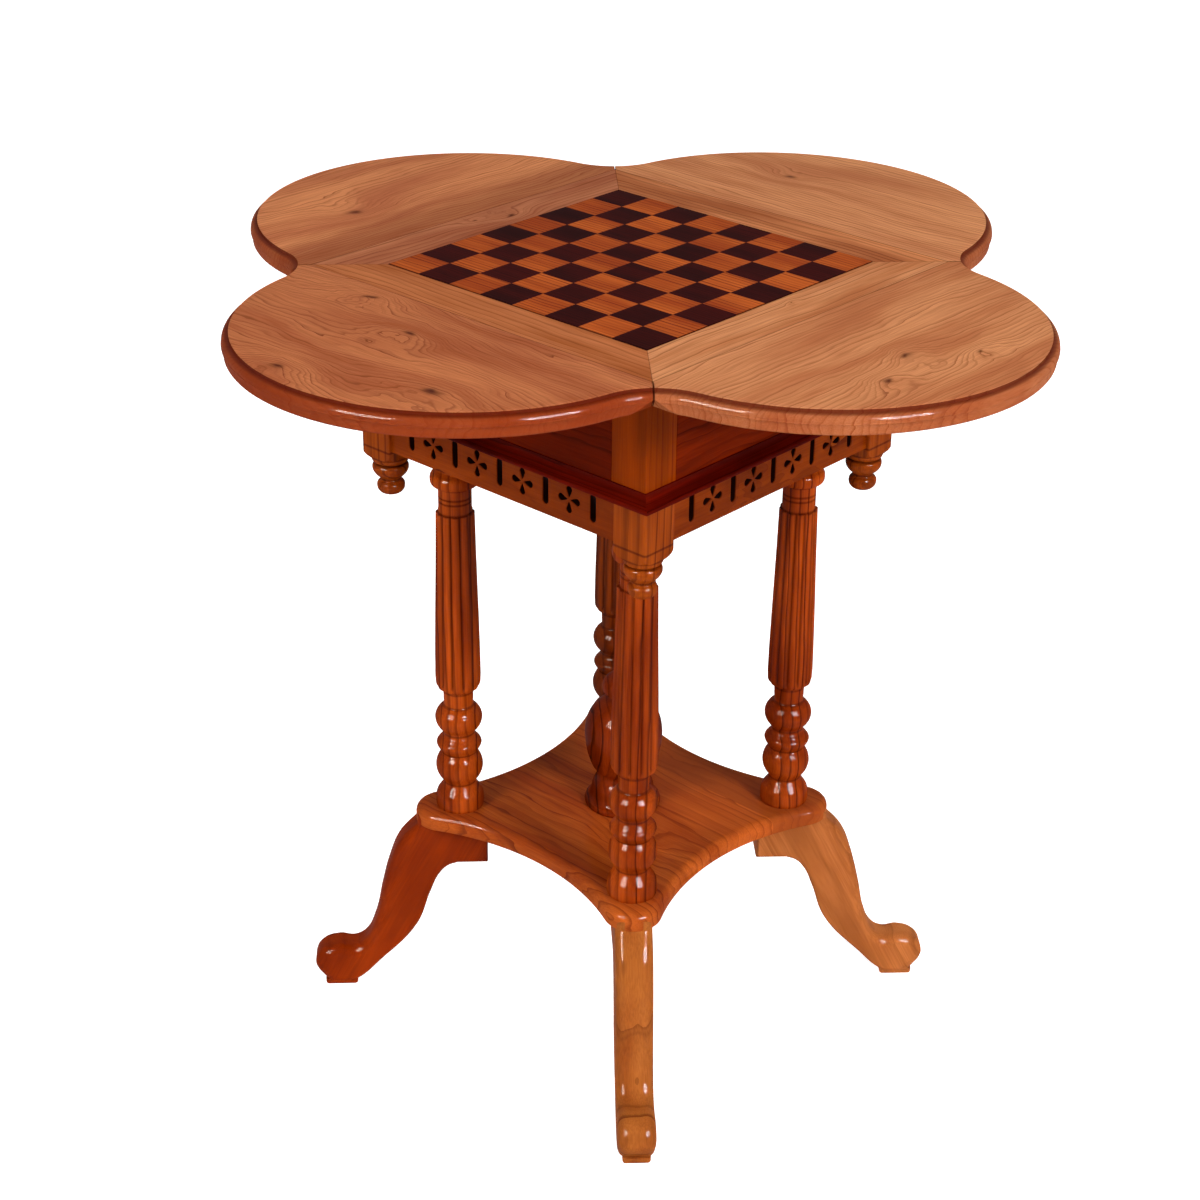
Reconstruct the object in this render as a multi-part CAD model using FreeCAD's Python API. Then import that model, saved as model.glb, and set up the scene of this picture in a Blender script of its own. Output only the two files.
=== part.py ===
"""Drop-leaf chess table with an inlaid board, four lobed leaves and a galleried pedestal.

Millimetres, +Z up. The origin is on the floor under the centre of the table. Front is -Y and right is +X.
Each piece is modelled on the right-hand side (+X), or at the back right corner, and turned into its place.
"""

import FreeCAD, Part
import math
import os

from FreeCAD import Vector

# ---- Top: centre panel and inlaid board ---------------------------------------------------------------
table_height = 756.0            # floor to the playing surface
panel_side = 395.0              # centre panel, from one hinge joint to the opposite one
panel_thickness = 20.0
square_side = 37.5
squares_per_side = 8
square_thickness = 6.0
inlay_proud = 0.6               # the squares stand this much above the border
board_lip = 6.0                 # board let in under the border's rebate

# ---- Drop leaves ----------------------------------------------------------------------------------------
leaf_reach = 204.4              # hinge joint to the outermost point of the leaf's flat top
ear_reach = 10.9                # the mitre runs this far past the panel's corner, along each axis
ear_radius = 51.4               # hollow curve between two neighbouring lobes
hinge_joint = 0.4               # gap between panel and leaf
mitre_joint = 0.9               # gap between neighbouring leaves
swing_clearance = 0.5           # between the ears of two leaves that hang side by side

# Moulded edge of the leaves, from the top down
ovolo_width = 6.6
ovolo_depth = 10.2
edge_undercut = 2.2

# ---- Box under the panel --------------------------------------------------------------------------------
box_setback = 35.5              # box wall behind the panel's edge
box_height = 98.2
box_wall = 16.0
post_side = 38.0

# ---- Cove frame, frieze and bottom board ----------------------------------------------------------------
cove_overhang = 14.8            # bead beyond the box wall
cove_height = 11.6
cove_land = 1.5                 # flat margin between the box wall and the hollow
cove_lip = 0.8
bead_height = 4.4
bead_quirk = 1.8
frame_seat = 42.0               # inner part of the frame that carries box and posts
frieze_height = 39.1
frieze_thickness = 14.0
frieze_setback = 9.8            # frieze face behind the bead
motif_pitch = 54.4              # from bar to bar
bar_width = 7.0
bar_height = 25.5
bars_per_side = 5
flower_span = 25.0
petal_radius = 3.3
petal_point = 1.6               # sharp end of a petal, from the flower's middle
motif_drop = 17.2               # bead's underside to the middle of the motifs
bottom_thickness = 18.0
bottom_margin = 4.0             # free space between bottom board and corner blocks' inner faces

# ---- Corner blocks with turned pendants -----------------------------------------------------------------
block_side = 36.0
block_setback = 6.0             # block faces behind the bead
block_rounding = 3.0
block_height = 42.6             # down to where the shoulder begins
shoulder_height = 10.0
collar_radius = 17.0
collar_height = 3.6
bulb_radius = 16.4
bulb_height = 14.0
waist_radius = 9.7
waist_height = 3.2
button_radius = 12.7
button_height = 15.0

# ---- Columns --------------------------------------------------------------------------------------------
column_inset = 18.8             # column centres from the bottom board's edges
base_radius = 23.0
lower_bulb_radius = 22.5
ring_radius = 21.6
upper_bulb_radius = 22.4
lower_neck_radius = 14.5
column_waist_radius = 15.1
ring_foot_radius = 19.0
reed_count = 12
reed_depth = 0.085              # depth of the grooves between reeds, as a share of the radius there
lower_turning_height = 124.8    # shelf to the plain neck below the reeds
reeded_foot_height = 129.0      # shelf to the lower ends of the reeds
reeded_length = 184.0
reeded_full_radius = 21.5
reeded_top_radius = 18.0
upper_neck_radius = 15.5
upper_neck_length = 26.5
disc_radius = 22.8
disc_thickness = 13.0
tenon_side = 14.0
tenon_length = 12.0
tenon_clearance = 0.1

# ---- Shelf and finial -----------------------------------------------------------------------------------
shelf_top = 205.0               # floor to the shelf's upper face
shelf_thickness = 17.0
shelf_lobe_radius = 27.0        # round corners
shelf_lobe_beyond = 11.3        # their centres, beyond the columns' centres each way
shelf_waist_beyond = 8.5        # middle of a hollow side, beyond the columns' centres
shelf_chamfer = 4.0
finial_height = 141.0
finial_base_radius = 37.0
finial_throat_radius = 24.0
finial_bulb_radius = 37.2
finial_neck_radius = 12.5
finial_ball_radius = 20.0

# ---- Legs -----------------------------------------------------------------------------------------------
leg_thickness = 35.0
knee_inner = 26.4               # knee block, inwards from the column's centre along the diagonal
knee_outer = 41.6
knee_length = 30.0              # flat underside of the knee block
knee_block_depth = 43.0
toe_reach = 283.0               # middle of the scroll, along the diagonal
scroll_radius = 22.5
scroll_height = 22.0
pad_setback = 2.0               # middle of the pad, behind the middle of the scroll
pad_length = 30.0
pad_width = 26.0
pad_height = 7.0

# ---- Lopers that carry the raised leaves ----------------------------------------------------------------
loper_width = 22.0
loper_height = 18.0
loper_offset = 50.0             # sideways from the middle, so that the four pass one another
loper_overhang = 28.0           # stowed end beyond the box wall
loper_end_clearance = 9.0       # between a stowed inner end and the loper that crosses it
loper_tail = 8.6                # inner end of the bar beyond its stop peg
loper_top_clearance = 0.3
loper_side_clearance = 0.4
grip_depth = 6.0
keeper_thickness = 12.0
keeper_wall = 8.0
keeper_setback = 42.0           # keeper behind the box wall's inner face
peg_side = 8.0
peg_length = 6.0

# ---- Hinges ---------------------------------------------------------------------------------------------
pivot_drop = 5.0                # pin's axis below the leaf's underside
pivot_offset = 6.0              # pin's axis beyond the joint
knuckle_radius = 4.2            # to the middle of a flat
knuckle_sides = 8
knuckle_gap = 0.4
pin_radius = 1.5
bore_sides = 16
pin_clearance = 0.03            # between the pin and the bore's flats
hinge_width = 44.0
plate_thickness = 2.2
fixed_plate_length = 22.0
leaf_plate_length = 30.0
hinge_inset = 70.5              # hinge centres from the panel's corners

# ---- Worked out from the above --------------------------------------------------------------------------
panel_half = panel_side / 2
board_half = square_side * squares_per_side / 2
panel_top = table_height - inlay_proud
panel_underside = panel_top - panel_thickness
square_underside = table_height - square_thickness
box_half = panel_half - box_setback
cove_top = panel_underside - box_height
frame_underside = cove_top - cove_height
bead_half = box_half + cove_overhang
frieze_face = bead_half - frieze_setback
block_centre = bead_half - block_setback - block_side / 2
block_inner = block_centre - block_side / 2
bottom_half = block_inner - bottom_margin
bottom_underside = frame_underside - bottom_thickness
column_offset = bottom_half - column_inset
shelf_waist = column_offset + shelf_waist_beyond
leg_inner = column_offset * math.sqrt(2) - knee_inner
leg_outer = column_offset * math.sqrt(2) + knee_outer
column_height = bottom_underside - shelf_top
shelf_underside = shelf_top - shelf_thickness
loper_inner_end = loper_offset - loper_width / 2 - loper_end_clearance
loper_top = panel_underside - loper_top_clearance
loper_underside = loper_top - loper_height
wall_inner = box_half - box_wall
keeper_inner = wall_inner - keeper_setback - keeper_thickness
pivot_x = panel_half + pivot_offset
pivot_z = panel_underside - pivot_drop
hinge_spacing = panel_half - hinge_inset

# Round forms are made in fine flats: how many to each
turned_sides = 16               # right round a turned piece
lobe_flats = 22                 # a leaf's lobe
ear_flats = 3                   # the hollow curve beside a lobe
shelf_lobe_flats = 8
shelf_hollow_flats = 10
block_flats = 2                 # round corner of a corner block
SIDES = {"right": 0, "back": 90, "left": 180, "front": 270}
CORNERS = {"back_right": 0, "back_left": 90, "front_left": 180, "front_right": 270}
UP = Vector(0, 0, 1)
FAR = 1000.0                    # beyond every piece


def turned_about_z(shape, angle):
    """A copy of a piece, carried round the table's middle."""
    copy = shape.copy()
    copy.rotate(Vector(0, 0, 0), UP, angle)
    return copy


def export(name, shape):
    shape.exportStep("parts/" + name + ".step")


def plan(z):
    """Places an outline's points in plan, at a height."""
    return lambda point: Vector(point[0], point[1], z)


def upright(point):
    """Places a profile's points (distance from the axis, height) in the XZ plane."""
    return Vector(point[0], 0, point[1])


def smooth_arc(before, start, end):
    """Arc that carries on in the direction in which the edge before it ends."""
    chord = end.sub(start)
    heading = before.tangentAt(before.LastParameter)
    bulge = heading.sub(chord * (heading.dot(chord) / chord.dot(chord)))
    bend = heading.getAngle(chord)
    through = start.add(chord * 0.5).add(bulge.normalize() * (0.5 * chord.Length * math.tan(bend / 2)))
    return Part.Arc(start, through, end).toShape()


def outline(start, steps, place):
    """Closed wire. A step is a point to draw a line to, a pair (through, end) to draw an arc, or a one-point
    tuple (end,) to draw an arc that runs on smoothly from the edge before it."""
    edges = []
    here = start
    for step in steps:
        end = step[-1] if isinstance(step[0], tuple) else step
        if not isinstance(step[0], tuple):
            edges.append(Part.LineSegment(place(here), place(end)).toShape())
        elif len(step) == 2:
            edges.append(Part.Arc(place(here), place(step[0]), place(end)).toShape())
        else:
            edges.append(smooth_arc(edges[-1], place(here), place(end)))
        here = end
    if here != start:
        edges.append(Part.LineSegment(place(here), place(start)).toShape())
    return Part.Wire(edges)


def slab(start, steps, low, high):
    """Upright solid over a plan outline."""
    return Part.Face(outline(start, steps, plan(low))).extrude(Vector(0, 0, high - low))


def box(x_range, y_range, z_range):
    corner = Vector(x_range[0], y_range[0], z_range[0])
    sides = [high - low for low, high in (x_range, y_range, z_range)]
    return Part.makeBox(*sides, corner)


def arc_points(centre, radius, start, end, flats):
    """Plan points along an arc in flats, with both ends; angles are in degrees."""
    angles = [math.radians(start + (end - start) * n / flats) for n in range(flats + 1)]
    return [(centre[0] + radius * math.cos(a), centre[1] + radius * math.sin(a)) for a in angles]


def ring(radius, height, sides):
    """Corners of a regular polygon about the Z axis."""
    angles = [2 * math.pi * n / sides for n in range(sides)]
    return [Vector(radius * math.cos(a), radius * math.sin(a), height) for a in angles]


def stacked(sections):
    """Solid with a flat face between each side of a section and the same side of the next one up."""
    faces = [Part.Face(Part.makePolygon(end + end[:1])) for end in (sections[0], sections[-1])]
    for lower, upper in zip(sections, sections[1:]):
        for n in range(len(lower)):
            corners = [lower[n - 1], lower[n], upper[n], upper[n - 1], lower[n - 1]]
            faces.append(Part.Face(Part.makePolygon(corners)))
    shell = Part.Shell(faces)
    shell.sewShape()
    solid = Part.Solid(shell)
    solid.fix(0.001, 0.001, 0.001)
    return solid


def turning(profile):
    """Turned solid in fine flats, from a profile of (radius, height) that rises from its lower end."""
    return stacked([ring(radius, height, turned_sides) for radius, height in profile])


def side_wedge(low, high, gap=0.0):
    """Right-hand quarter of the plan, between the two diagonals, less half a mitre gap."""
    return slab((gap, 0), [(FAR, FAR - gap), (FAR, gap - FAR)], low, high)


# ---- Top --------------------------------------------------------------------------------------------------

def squares(parity):
    """All the squares of one colour, set edge to edge with the others."""
    tiles = []
    heights = (square_underside, table_height)
    for column in range(squares_per_side):
        for row in range(squares_per_side):
            if (column + row) % 2 == parity:
                x = column * square_side - board_half
                y = row * square_side - board_half
                tiles.append(box((x, x + square_side), (y, y + square_side), heights))
    return Part.makeCompound(tiles)


def board():
    """Core that the squares are glued to; its edges sit in the border's rebate."""
    half = board_half + board_lip
    return box((-half, half), (-half, half), (panel_underside, square_underside))


def border():
    """Mitred border board with a rebate for the core."""
    half = panel_half - hinge_joint / 2
    plank = box((board_half, half), (-half, half), (panel_underside, panel_top))
    rebate = box((0, board_half + board_lip), (-half, half), (panel_underside, square_underside))
    return plank.cut(rebate).common(side_wedge(panel_underside, panel_top))


def leaf_lobe():
    """Centre and radius of the leaf's lobe, and the centre of the hollow beside its ear.

    The lobe reaches leaf_reach past the joint and touches both hollows, whose centres lie on the diagonals.
    """
    hollow = panel_half + ear_reach + ear_radius / math.sqrt(2)
    beyond = hollow - panel_half
    reach = leaf_reach + ear_radius
    inset = (reach ** 2 - beyond ** 2 - hollow ** 2) / (2 * (reach - beyond))
    return panel_half + inset, leaf_reach - inset, hollow


def leaf_section(outward, height):
    """Outline of the leaf at a height, this far outside the edge of its flat top."""
    lobe_x, lobe_radius, hollow = leaf_lobe()
    slope = math.degrees(math.atan2(hollow, hollow - lobe_x))
    ear = ear_radius - outward
    joint = panel_half + hinge_joint / 2
    points = [(joint, -joint)] + arc_points((hollow, -hollow), ear, 135, 180 - slope, ear_flats)
    points += arc_points((lobe_x, 0), lobe_radius + outward, -slope, slope, lobe_flats)[1:-1]
    points += arc_points((hollow, hollow), ear, 180 + slope, 225, ear_flats) + [(joint, joint)]
    return [Vector(x, y, height) for x, y in points]


def leaf():
    """Lobed leaf with a moulded edge, square hinge joint and mitred ears."""
    sections = [leaf_section(ovolo_width - edge_undercut, panel_underside)]
    sections.append(leaf_section(ovolo_width, panel_top - ovolo_depth))
    sections.append(leaf_section(0.7 * ovolo_width, panel_top - 0.35 * ovolo_depth))
    sections.append(leaf_section(0, panel_top))
    body = stacked(sections).common(side_wedge(panel_underside, panel_top, mitre_joint / math.sqrt(2)))
    for side in (-1, 1):
        body = body.cut(ear_relief(side))
    return body


def ear_relief(side):
    """Bevel under an ear, so that the ears of two hanging leaves pass each other."""
    free = panel_half + pivot_offset - swing_clearance
    steps = [(free + FAR, pivot_z + FAR), (free + FAR, pivot_z - FAR), (free - FAR, pivot_z - FAR)]

    def place(point):
        return Vector(0, side * point[0], point[1])

    return Part.Face(outline((free, pivot_z), steps, place)).extrude(Vector(FAR, 0, 0))


# ---- Hinges -----------------------------------------------------------------------------------------------

def flat_sided(radius, sides, y_low, y_high):
    """Many-sided bar on the hinge's axis, with a flat on top; the radius is measured to the flats."""
    corners = ring(radius / math.cos(math.pi / sides), 0, sides)
    section = Part.Face(Part.makePolygon(corners + corners[:1]))
    section.rotate(Vector(0, 0, 0), UP, 180 / sides)
    section.rotate(Vector(0, 0, 0), Vector(1, 0, 0), -90)
    section.translate(Vector(pivot_x, y_low, pivot_z))
    return section.extrude(Vector(0, y_high - y_low, 0))


def knuckle(y_low, y_high):
    return flat_sided(knuckle_radius, knuckle_sides, y_low, y_high)


def knuckle_spans(middle):
    """Ends of the fixed knuckle and of the leaf's knuckle, along a hinge centred on a point."""
    half = hinge_width / 2
    return (middle - half, middle - knuckle_gap / 2), (middle + knuckle_gap / 2, middle + half)


def fixed_plates():
    """The two hinge plates under the panel, cranked below the leaf, each with its knuckle and its pin."""
    neck_top = pivot_z + knuckle_radius
    neck_start = pivot_x - knuckle_radius - knuckle_gap - plate_thickness
    plates = []
    for middle in (-hinge_spacing, hinge_spacing):
        near, far = knuckle_spans(middle)
        across = (middle - hinge_width / 2, middle + hinge_width / 2)
        heights = (panel_underside - plate_thickness, panel_underside)
        plate = box((panel_half - fixed_plate_length, neck_start), across, heights)
        neck = box((neck_start - plate_thickness, pivot_x), near, (neck_top - plate_thickness, neck_top))
        start = Vector(pivot_x, middle - plate_thickness, pivot_z)
        pin = Part.makeCylinder(pin_radius, far[1] - start.y, start, Vector(0, 1, 0))
        plates.append(plate.fuse([neck, knuckle(*near), pin]).removeSplitter())
    return Part.makeCompound(plates)


def leaf_plates():
    """The two hinge plates under the leaf, each with its knuckle."""
    neck_top = pivot_z + knuckle_radius
    start = pivot_x + knuckle_radius + knuckle_gap
    plates = []
    for middle in (-hinge_spacing, hinge_spacing):
        _, far = knuckle_spans(middle)
        across = (middle - hinge_width / 2, middle + hinge_width / 2)
        heights = (panel_underside - plate_thickness, panel_underside)
        plate = box((start, pivot_x + leaf_plate_length), across, heights)
        neck = box((pivot_x, start + plate_thickness), far, (neck_top - plate_thickness, neck_top))
        bore = flat_sided(pin_radius + pin_clearance, bore_sides, *far)
        plates.append(plate.fuse([neck, knuckle(*far)]).removeSplitter().cut(bore))
    return Part.makeCompound(plates)


# ---- Box --------------------------------------------------------------------------------------------------

def corner_post():
    low = box_half - post_side
    return box((low, box_half), (low, box_half), (cove_top, panel_underside))


def box_wall_panel():
    """Side of the box, with a notch in its top edge for the loper."""
    half = box_half - post_side
    wall = box((wall_inner, box_half), (-half, half), (cove_top, panel_underside))
    reach = loper_width / 2 + loper_side_clearance
    notch_y = (loper_offset - reach, loper_offset + reach)
    notch_z = (loper_underside - loper_side_clearance, panel_underside)
    return wall.cut(box((wall_inner, box_half), notch_y, notch_z))


def cove_rail():
    """Mitred rail of the frame that the box stands on: a hollow, a quirk and a bead."""
    bead_start = bead_half - bead_height / 2
    bead_top = frame_underside + bead_height
    hollow_foot = bead_start - bead_quirk
    land = box_half + cove_land
    hollow_head = cove_top - cove_lip
    fall = hollow_head - bead_top
    seat = box_half - frame_seat
    steps = [(bead_start, frame_underside), (bead_half, frame_underside + 0.3 * bead_height)]
    steps += [(bead_half, bead_top - 0.3 * bead_height), (bead_start, bead_top), (hollow_foot, bead_top)]
    steps.append((land + 0.35 * (hollow_foot - land), bead_top + 0.3 * fall))
    steps += [(land, hollow_head), (land, cove_top), (seat, cove_top)]
    section = Part.Face(outline((seat, frame_underside), steps, upright))
    section.translate(Vector(0, -bead_half, 0))
    rail = section.extrude(Vector(0, 2 * bead_half, 0))
    return rail.common(side_wedge(frame_underside, cove_top))


def bottom_board():
    return box((-bottom_half, bottom_half), (-bottom_half, bottom_half), (bottom_underside, frame_underside))


# ---- Frieze -----------------------------------------------------------------------------------------------

def on_frieze(middle_y):
    """Places a motif's points (across, up) on the plane behind the frieze, about the motif's middle."""
    middle_z = frame_underside - motif_drop
    back = frieze_face - frieze_thickness
    return lambda point: Vector(back, middle_y + point[0], middle_z + point[1])


def cutter(start, steps, place):
    return Part.Face(outline(start, steps, place)).extrude(Vector(frieze_thickness, 0, 0))


def bar_cutter(middle_y):
    """Upright slot with an eased head and a pointed foot."""
    half = bar_width / 2
    top = bar_height / 2
    steps = [(half, half - top), (half, top - half), (0.5 * half, top), (-0.5 * half, top)]
    steps += [(-half, top - half), (-half, half - top)]
    return cutter((0, -top), steps, on_frieze(middle_y))


def petal_cutter(middle_y, turn):
    """Drop-shaped petal: broad and eased at its outer end, drawn to a point at the flower's middle."""
    angle = math.radians(turn)
    reach = flower_span / 2
    shoulder = reach - petal_radius
    drop = [(petal_point, 0), (shoulder, -petal_radius), (reach, -0.5 * petal_radius)]
    drop += [(reach, 0.5 * petal_radius), (shoulder, petal_radius)]
    spun = []
    for along, across in drop:
        y = along * math.cos(angle) - across * math.sin(angle)
        spun.append((y, along * math.sin(angle) + across * math.cos(angle)))
    return cutter(spun[0], spun[1:], on_frieze(middle_y))


def frieze():
    """Pierced board between two corner blocks: bars with four-petalled flowers between them."""
    heights = (frame_underside - frieze_height, frame_underside)
    panel = box((frieze_face - frieze_thickness, frieze_face), (-block_inner, block_inner), heights)
    first = -motif_pitch * (bars_per_side - 1) / 2
    holes = [bar_cutter(first + n * motif_pitch) for n in range(bars_per_side)]
    for n in range(bars_per_side - 1):
        middle = first + (n + 0.5) * motif_pitch
        holes += [petal_cutter(middle, turn) for turn in (0, 90, 180, 270)]
    return panel.cut(holes)


def corner_block():
    """Square block with an eased outer corner, turned below a shoulder into a pendant."""
    shoulder = frame_underside - block_height
    collar_top = shoulder - shoulder_height
    collar_foot = collar_top - collar_height
    bulb_foot = collar_foot - bulb_height
    button_top = bulb_foot - waist_height
    bottom = button_top - button_height
    beyond = block_side / math.sqrt(2) + 1.0
    profile = [(0.6 * button_radius, bottom), (button_radius, bottom + 0.45 * button_height)]
    profile += [(button_radius, bottom + 0.65 * button_height), (waist_radius, button_top)]
    profile += [(waist_radius, bulb_foot), (bulb_radius, collar_foot - 0.6 * bulb_height)]
    profile += [(0.93 * bulb_radius, collar_foot - 0.3), (collar_radius, collar_foot)]
    profile += [(collar_radius, collar_top), (beyond, shoulder), (beyond, frame_underside)]
    half = block_side / 2
    corner = (half - block_rounding, half - block_rounding)
    steps = [(half, -half)] + arc_points(corner, block_rounding, 0, 90, block_flats) + [(-half, half)]
    piece = slab((-half, -half), steps, bottom, frame_underside).common(turning(profile))
    piece.translate(Vector(block_centre, block_centre, 0))
    return piece


# ---- Columns ----------------------------------------------------------------------------------------------

def reed_section(radius, height):
    """Cross-section with a ring of flat-crowned reeds that meet in sharp grooves."""
    valley = radius * (1 - reed_depth)
    step = 360 / reed_count
    points = []
    for n in range(reed_count):
        for share, reach in ((-0.5, valley), (-0.26, radius), (0.26, radius)):
            angle = math.radians((n + share) * step)
            points.append(Vector(reach * math.cos(angle), reach * math.sin(angle), height))
    return points


def reeded_shaft():
    """Reeded length, from its rounded lower ends to its square-cut top."""
    foot = reeded_foot_height
    full = reeded_full_radius
    stations = [(0.8 * full, foot), (full, foot + 0.08 * reeded_length)]
    stations.append((reeded_top_radius, foot + reeded_length))
    return stacked([reed_section(radius, height) for radius, height in stations])


def lower_turning():
    """Base, bulb, sharp ring, bulb and neck below the reeds, at shares of their whole height."""
    lower = lower_bulb_radius
    upper = upper_bulb_radius
    neck = lower_neck_radius
    profile = [(base_radius - 1.0, 0), (base_radius, 0.064), (column_waist_radius, 0.205), (lower, 0.32)]
    profile += [(lower, 0.39), (ring_foot_radius, 0.473), (ring_radius, 0.553), (column_waist_radius, 0.633)]
    profile += [(upper, 0.741), (upper, 0.817), (neck, 0.897)]
    turned = [(radius, share * lower_turning_height) for radius, share in profile]
    return turning(turned + [(neck, reeded_foot_height)])


def upper_turning():
    """Neck, disc and plain collar above the reeds."""
    foot = reeded_foot_height + reeded_length
    disc = foot + upper_neck_length
    rise = disc_thickness
    neck = upper_neck_radius
    profile = [(neck, foot), (neck, disc), (disc_radius, disc + 0.3 * rise), (disc_radius, disc + 0.8 * rise)]
    profile += [(neck, disc + rise), (neck, column_height)]
    return turning(profile)


def tenon(side, low, high):
    return box((-side / 2, side / 2), (-side / 2, side / 2), (low, high))


def column():
    """Turned and reeded column with a square tenon at each end."""
    piece = lower_turning().fuse([reeded_shaft(), upper_turning()])
    piece = piece.fuse(tenon(tenon_side, -tenon_length, 1.0))
    piece = piece.fuse(tenon(tenon_side, column_height - 1.0, column_height + tenon_length))
    piece.translate(Vector(column_offset, column_offset, shelf_top))
    return piece


def with_mortises(piece, low, high):
    """Square mortises for the four columns' tenons."""
    mortises = []
    for x in (-column_offset, column_offset):
        for y in (-column_offset, column_offset):
            mortise = tenon(tenon_side + 2 * tenon_clearance, low, high)
            mortise.translate(Vector(x, y, 0))
            mortises.append(mortise)
    return piece.cut(mortises)


# ---- Shelf and finial -------------------------------------------------------------------------------------

def shelf_section(inset, height):
    """Outline of the shelf at a height, this far inside its widest: round corners joined by hollow sides."""
    lobe = column_offset + shelf_lobe_beyond
    drop = shelf_waist - lobe
    room = shelf_lobe_radius - drop
    hollow = (lobe ** 2 + drop ** 2 - shelf_lobe_radius ** 2) / (2 * room)
    far = shelf_waist + hollow
    sweep = math.degrees(math.atan2(lobe, far - lobe))
    side = arc_points((far, 0), hollow + inset, 180 + sweep, 180 - sweep, shelf_hollow_flats)[:-1]
    side += arc_points((lobe, lobe), shelf_lobe_radius - inset, -sweep, 90 + sweep, shelf_lobe_flats)[:-1]
    points = [quarter_turn(point, turn) for turn in range(4) for point in side]
    return [Vector(x, y, height) for x, y in points]


def shelf():
    """Shelf with four round corners, four hollow sides and an eased top edge."""
    sections = [shelf_section(0, shelf_underside), shelf_section(0, shelf_top - shelf_chamfer)]
    plate = stacked(sections + [shelf_section(shelf_chamfer, shelf_top)])
    return with_mortises(plate, shelf_top - tenon_length - tenon_clearance, shelf_top)


def quarter_turn(point, turns):
    """A plan point carried round by right angles."""
    for _ in range(turns):
        point = (-point[1], point[0])
    return point


def finial():
    """Turned ornament in the middle of the shelf: a bell foot, a bulb and a flattened ball."""
    bulb = finial_bulb_radius
    ball = finial_ball_radius
    base = finial_base_radius
    profile = [(base - 2, 0), (base, 0.043), (0.865 * base, 0.17), (finial_throat_radius, 0.255)]
    profile += [(0.86 * bulb, 0.383), (bulb, 0.51), (bulb, 0.596), (0.8 * bulb, 0.723)]
    profile += [(finial_neck_radius, 0.816), (ball, 0.858), (ball, 0.936), (0.5 * ball, 1.0)]
    return turning([(radius, shelf_top + share * finial_height) for radius, share in profile])


# ---- Legs -------------------------------------------------------------------------------------------------

def leg():
    """Sawn leg: a knee block under the shelf, an outward sweep and a scroll foot on a small pad."""
    knee = shelf_underside - knee_block_depth
    pad_start = toe_reach - pad_setback - pad_length / 2
    pad_end = pad_start + pad_length
    scroll_top = scroll_height + scroll_radius
    knee_end = leg_inner + knee_length
    inner_curve = [((knee_end + 16.0, knee - 10.0),), ((knee_end + 41.5, knee - 72.0),)]
    inner_curve += [((toe_reach - 41.0, scroll_height + 5.0),), ((pad_start - 3.0, pad_height + 3.0),)]
    outer_curve = [((toe_reach - 17.0, scroll_top - 1.5),), ((toe_reach - 28.0, scroll_top + 5.5),)]
    outer_curve.append(((leg_outer + 40.0, shelf_underside - 91.0),))
    outer_curve.append(((leg_outer + 30.0, shelf_underside - 52.0),))
    steps = [(leg_inner, knee), (knee_end, knee)] + inner_curve
    steps += [(pad_start, pad_height), (pad_end, pad_height)]
    steps += [((toe_reach + scroll_radius, scroll_height), (toe_reach, scroll_top))] + outer_curve
    steps.append(((leg_outer, shelf_underside),))
    profile = Part.Face(outline((leg_inner, shelf_underside), steps, upright))
    profile.translate(Vector(0, -leg_thickness / 2, 0))
    pad = box((pad_start, pad_end), (-pad_width / 2, pad_width / 2), (0, pad_height))
    piece = profile.extrude(Vector(0, leg_thickness, 0)).fuse(pad)
    piece.rotate(Vector(0, 0, 0), UP, 45)
    return piece


# ---- Lopers -----------------------------------------------------------------------------------------------

def loper():
    """Pull-out bar with a finger groove under its end and a stop peg behind its keeper."""
    outer_end = box_half + loper_overhang
    sides = (loper_offset - loper_width / 2, loper_offset + loper_width / 2)
    bar = box((-loper_inner_end, outer_end), sides, (loper_underside, loper_top))
    grip = outer_end - 2 * grip_depth
    groove = Part.Face(outline((grip - grip_depth, loper_underside), [(grip, loper_underside + grip_depth),
                               (grip + grip_depth, loper_underside)], upright))
    groove.translate(Vector(0, sides[0], 0))
    peg_x = loper_tail - loper_inner_end
    peg_y = (loper_offset - peg_side / 2, loper_offset + peg_side / 2)
    peg = box((peg_x, peg_x + peg_side), peg_y, (loper_underside - peg_length, loper_underside))
    return bar.cut(groove.extrude(Vector(0, loper_width, 0))).fuse(peg)


def keeper():
    """Wooden stirrup under the board that the loper runs through."""
    gap = loper_width / 2 + loper_side_clearance
    strap_top = loper_underside - loper_side_clearance
    depth = (keeper_inner, keeper_inner + keeper_thickness)
    outer = (loper_offset - gap - keeper_wall, loper_offset + gap + keeper_wall)
    block = box(depth, outer, (strap_top - keeper_wall, panel_underside))
    return block.cut(box(depth, (loper_offset - gap, loper_offset + gap), (strap_top, panel_underside)))


# ---- All the pieces ---------------------------------------------------------------------------------------

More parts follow.
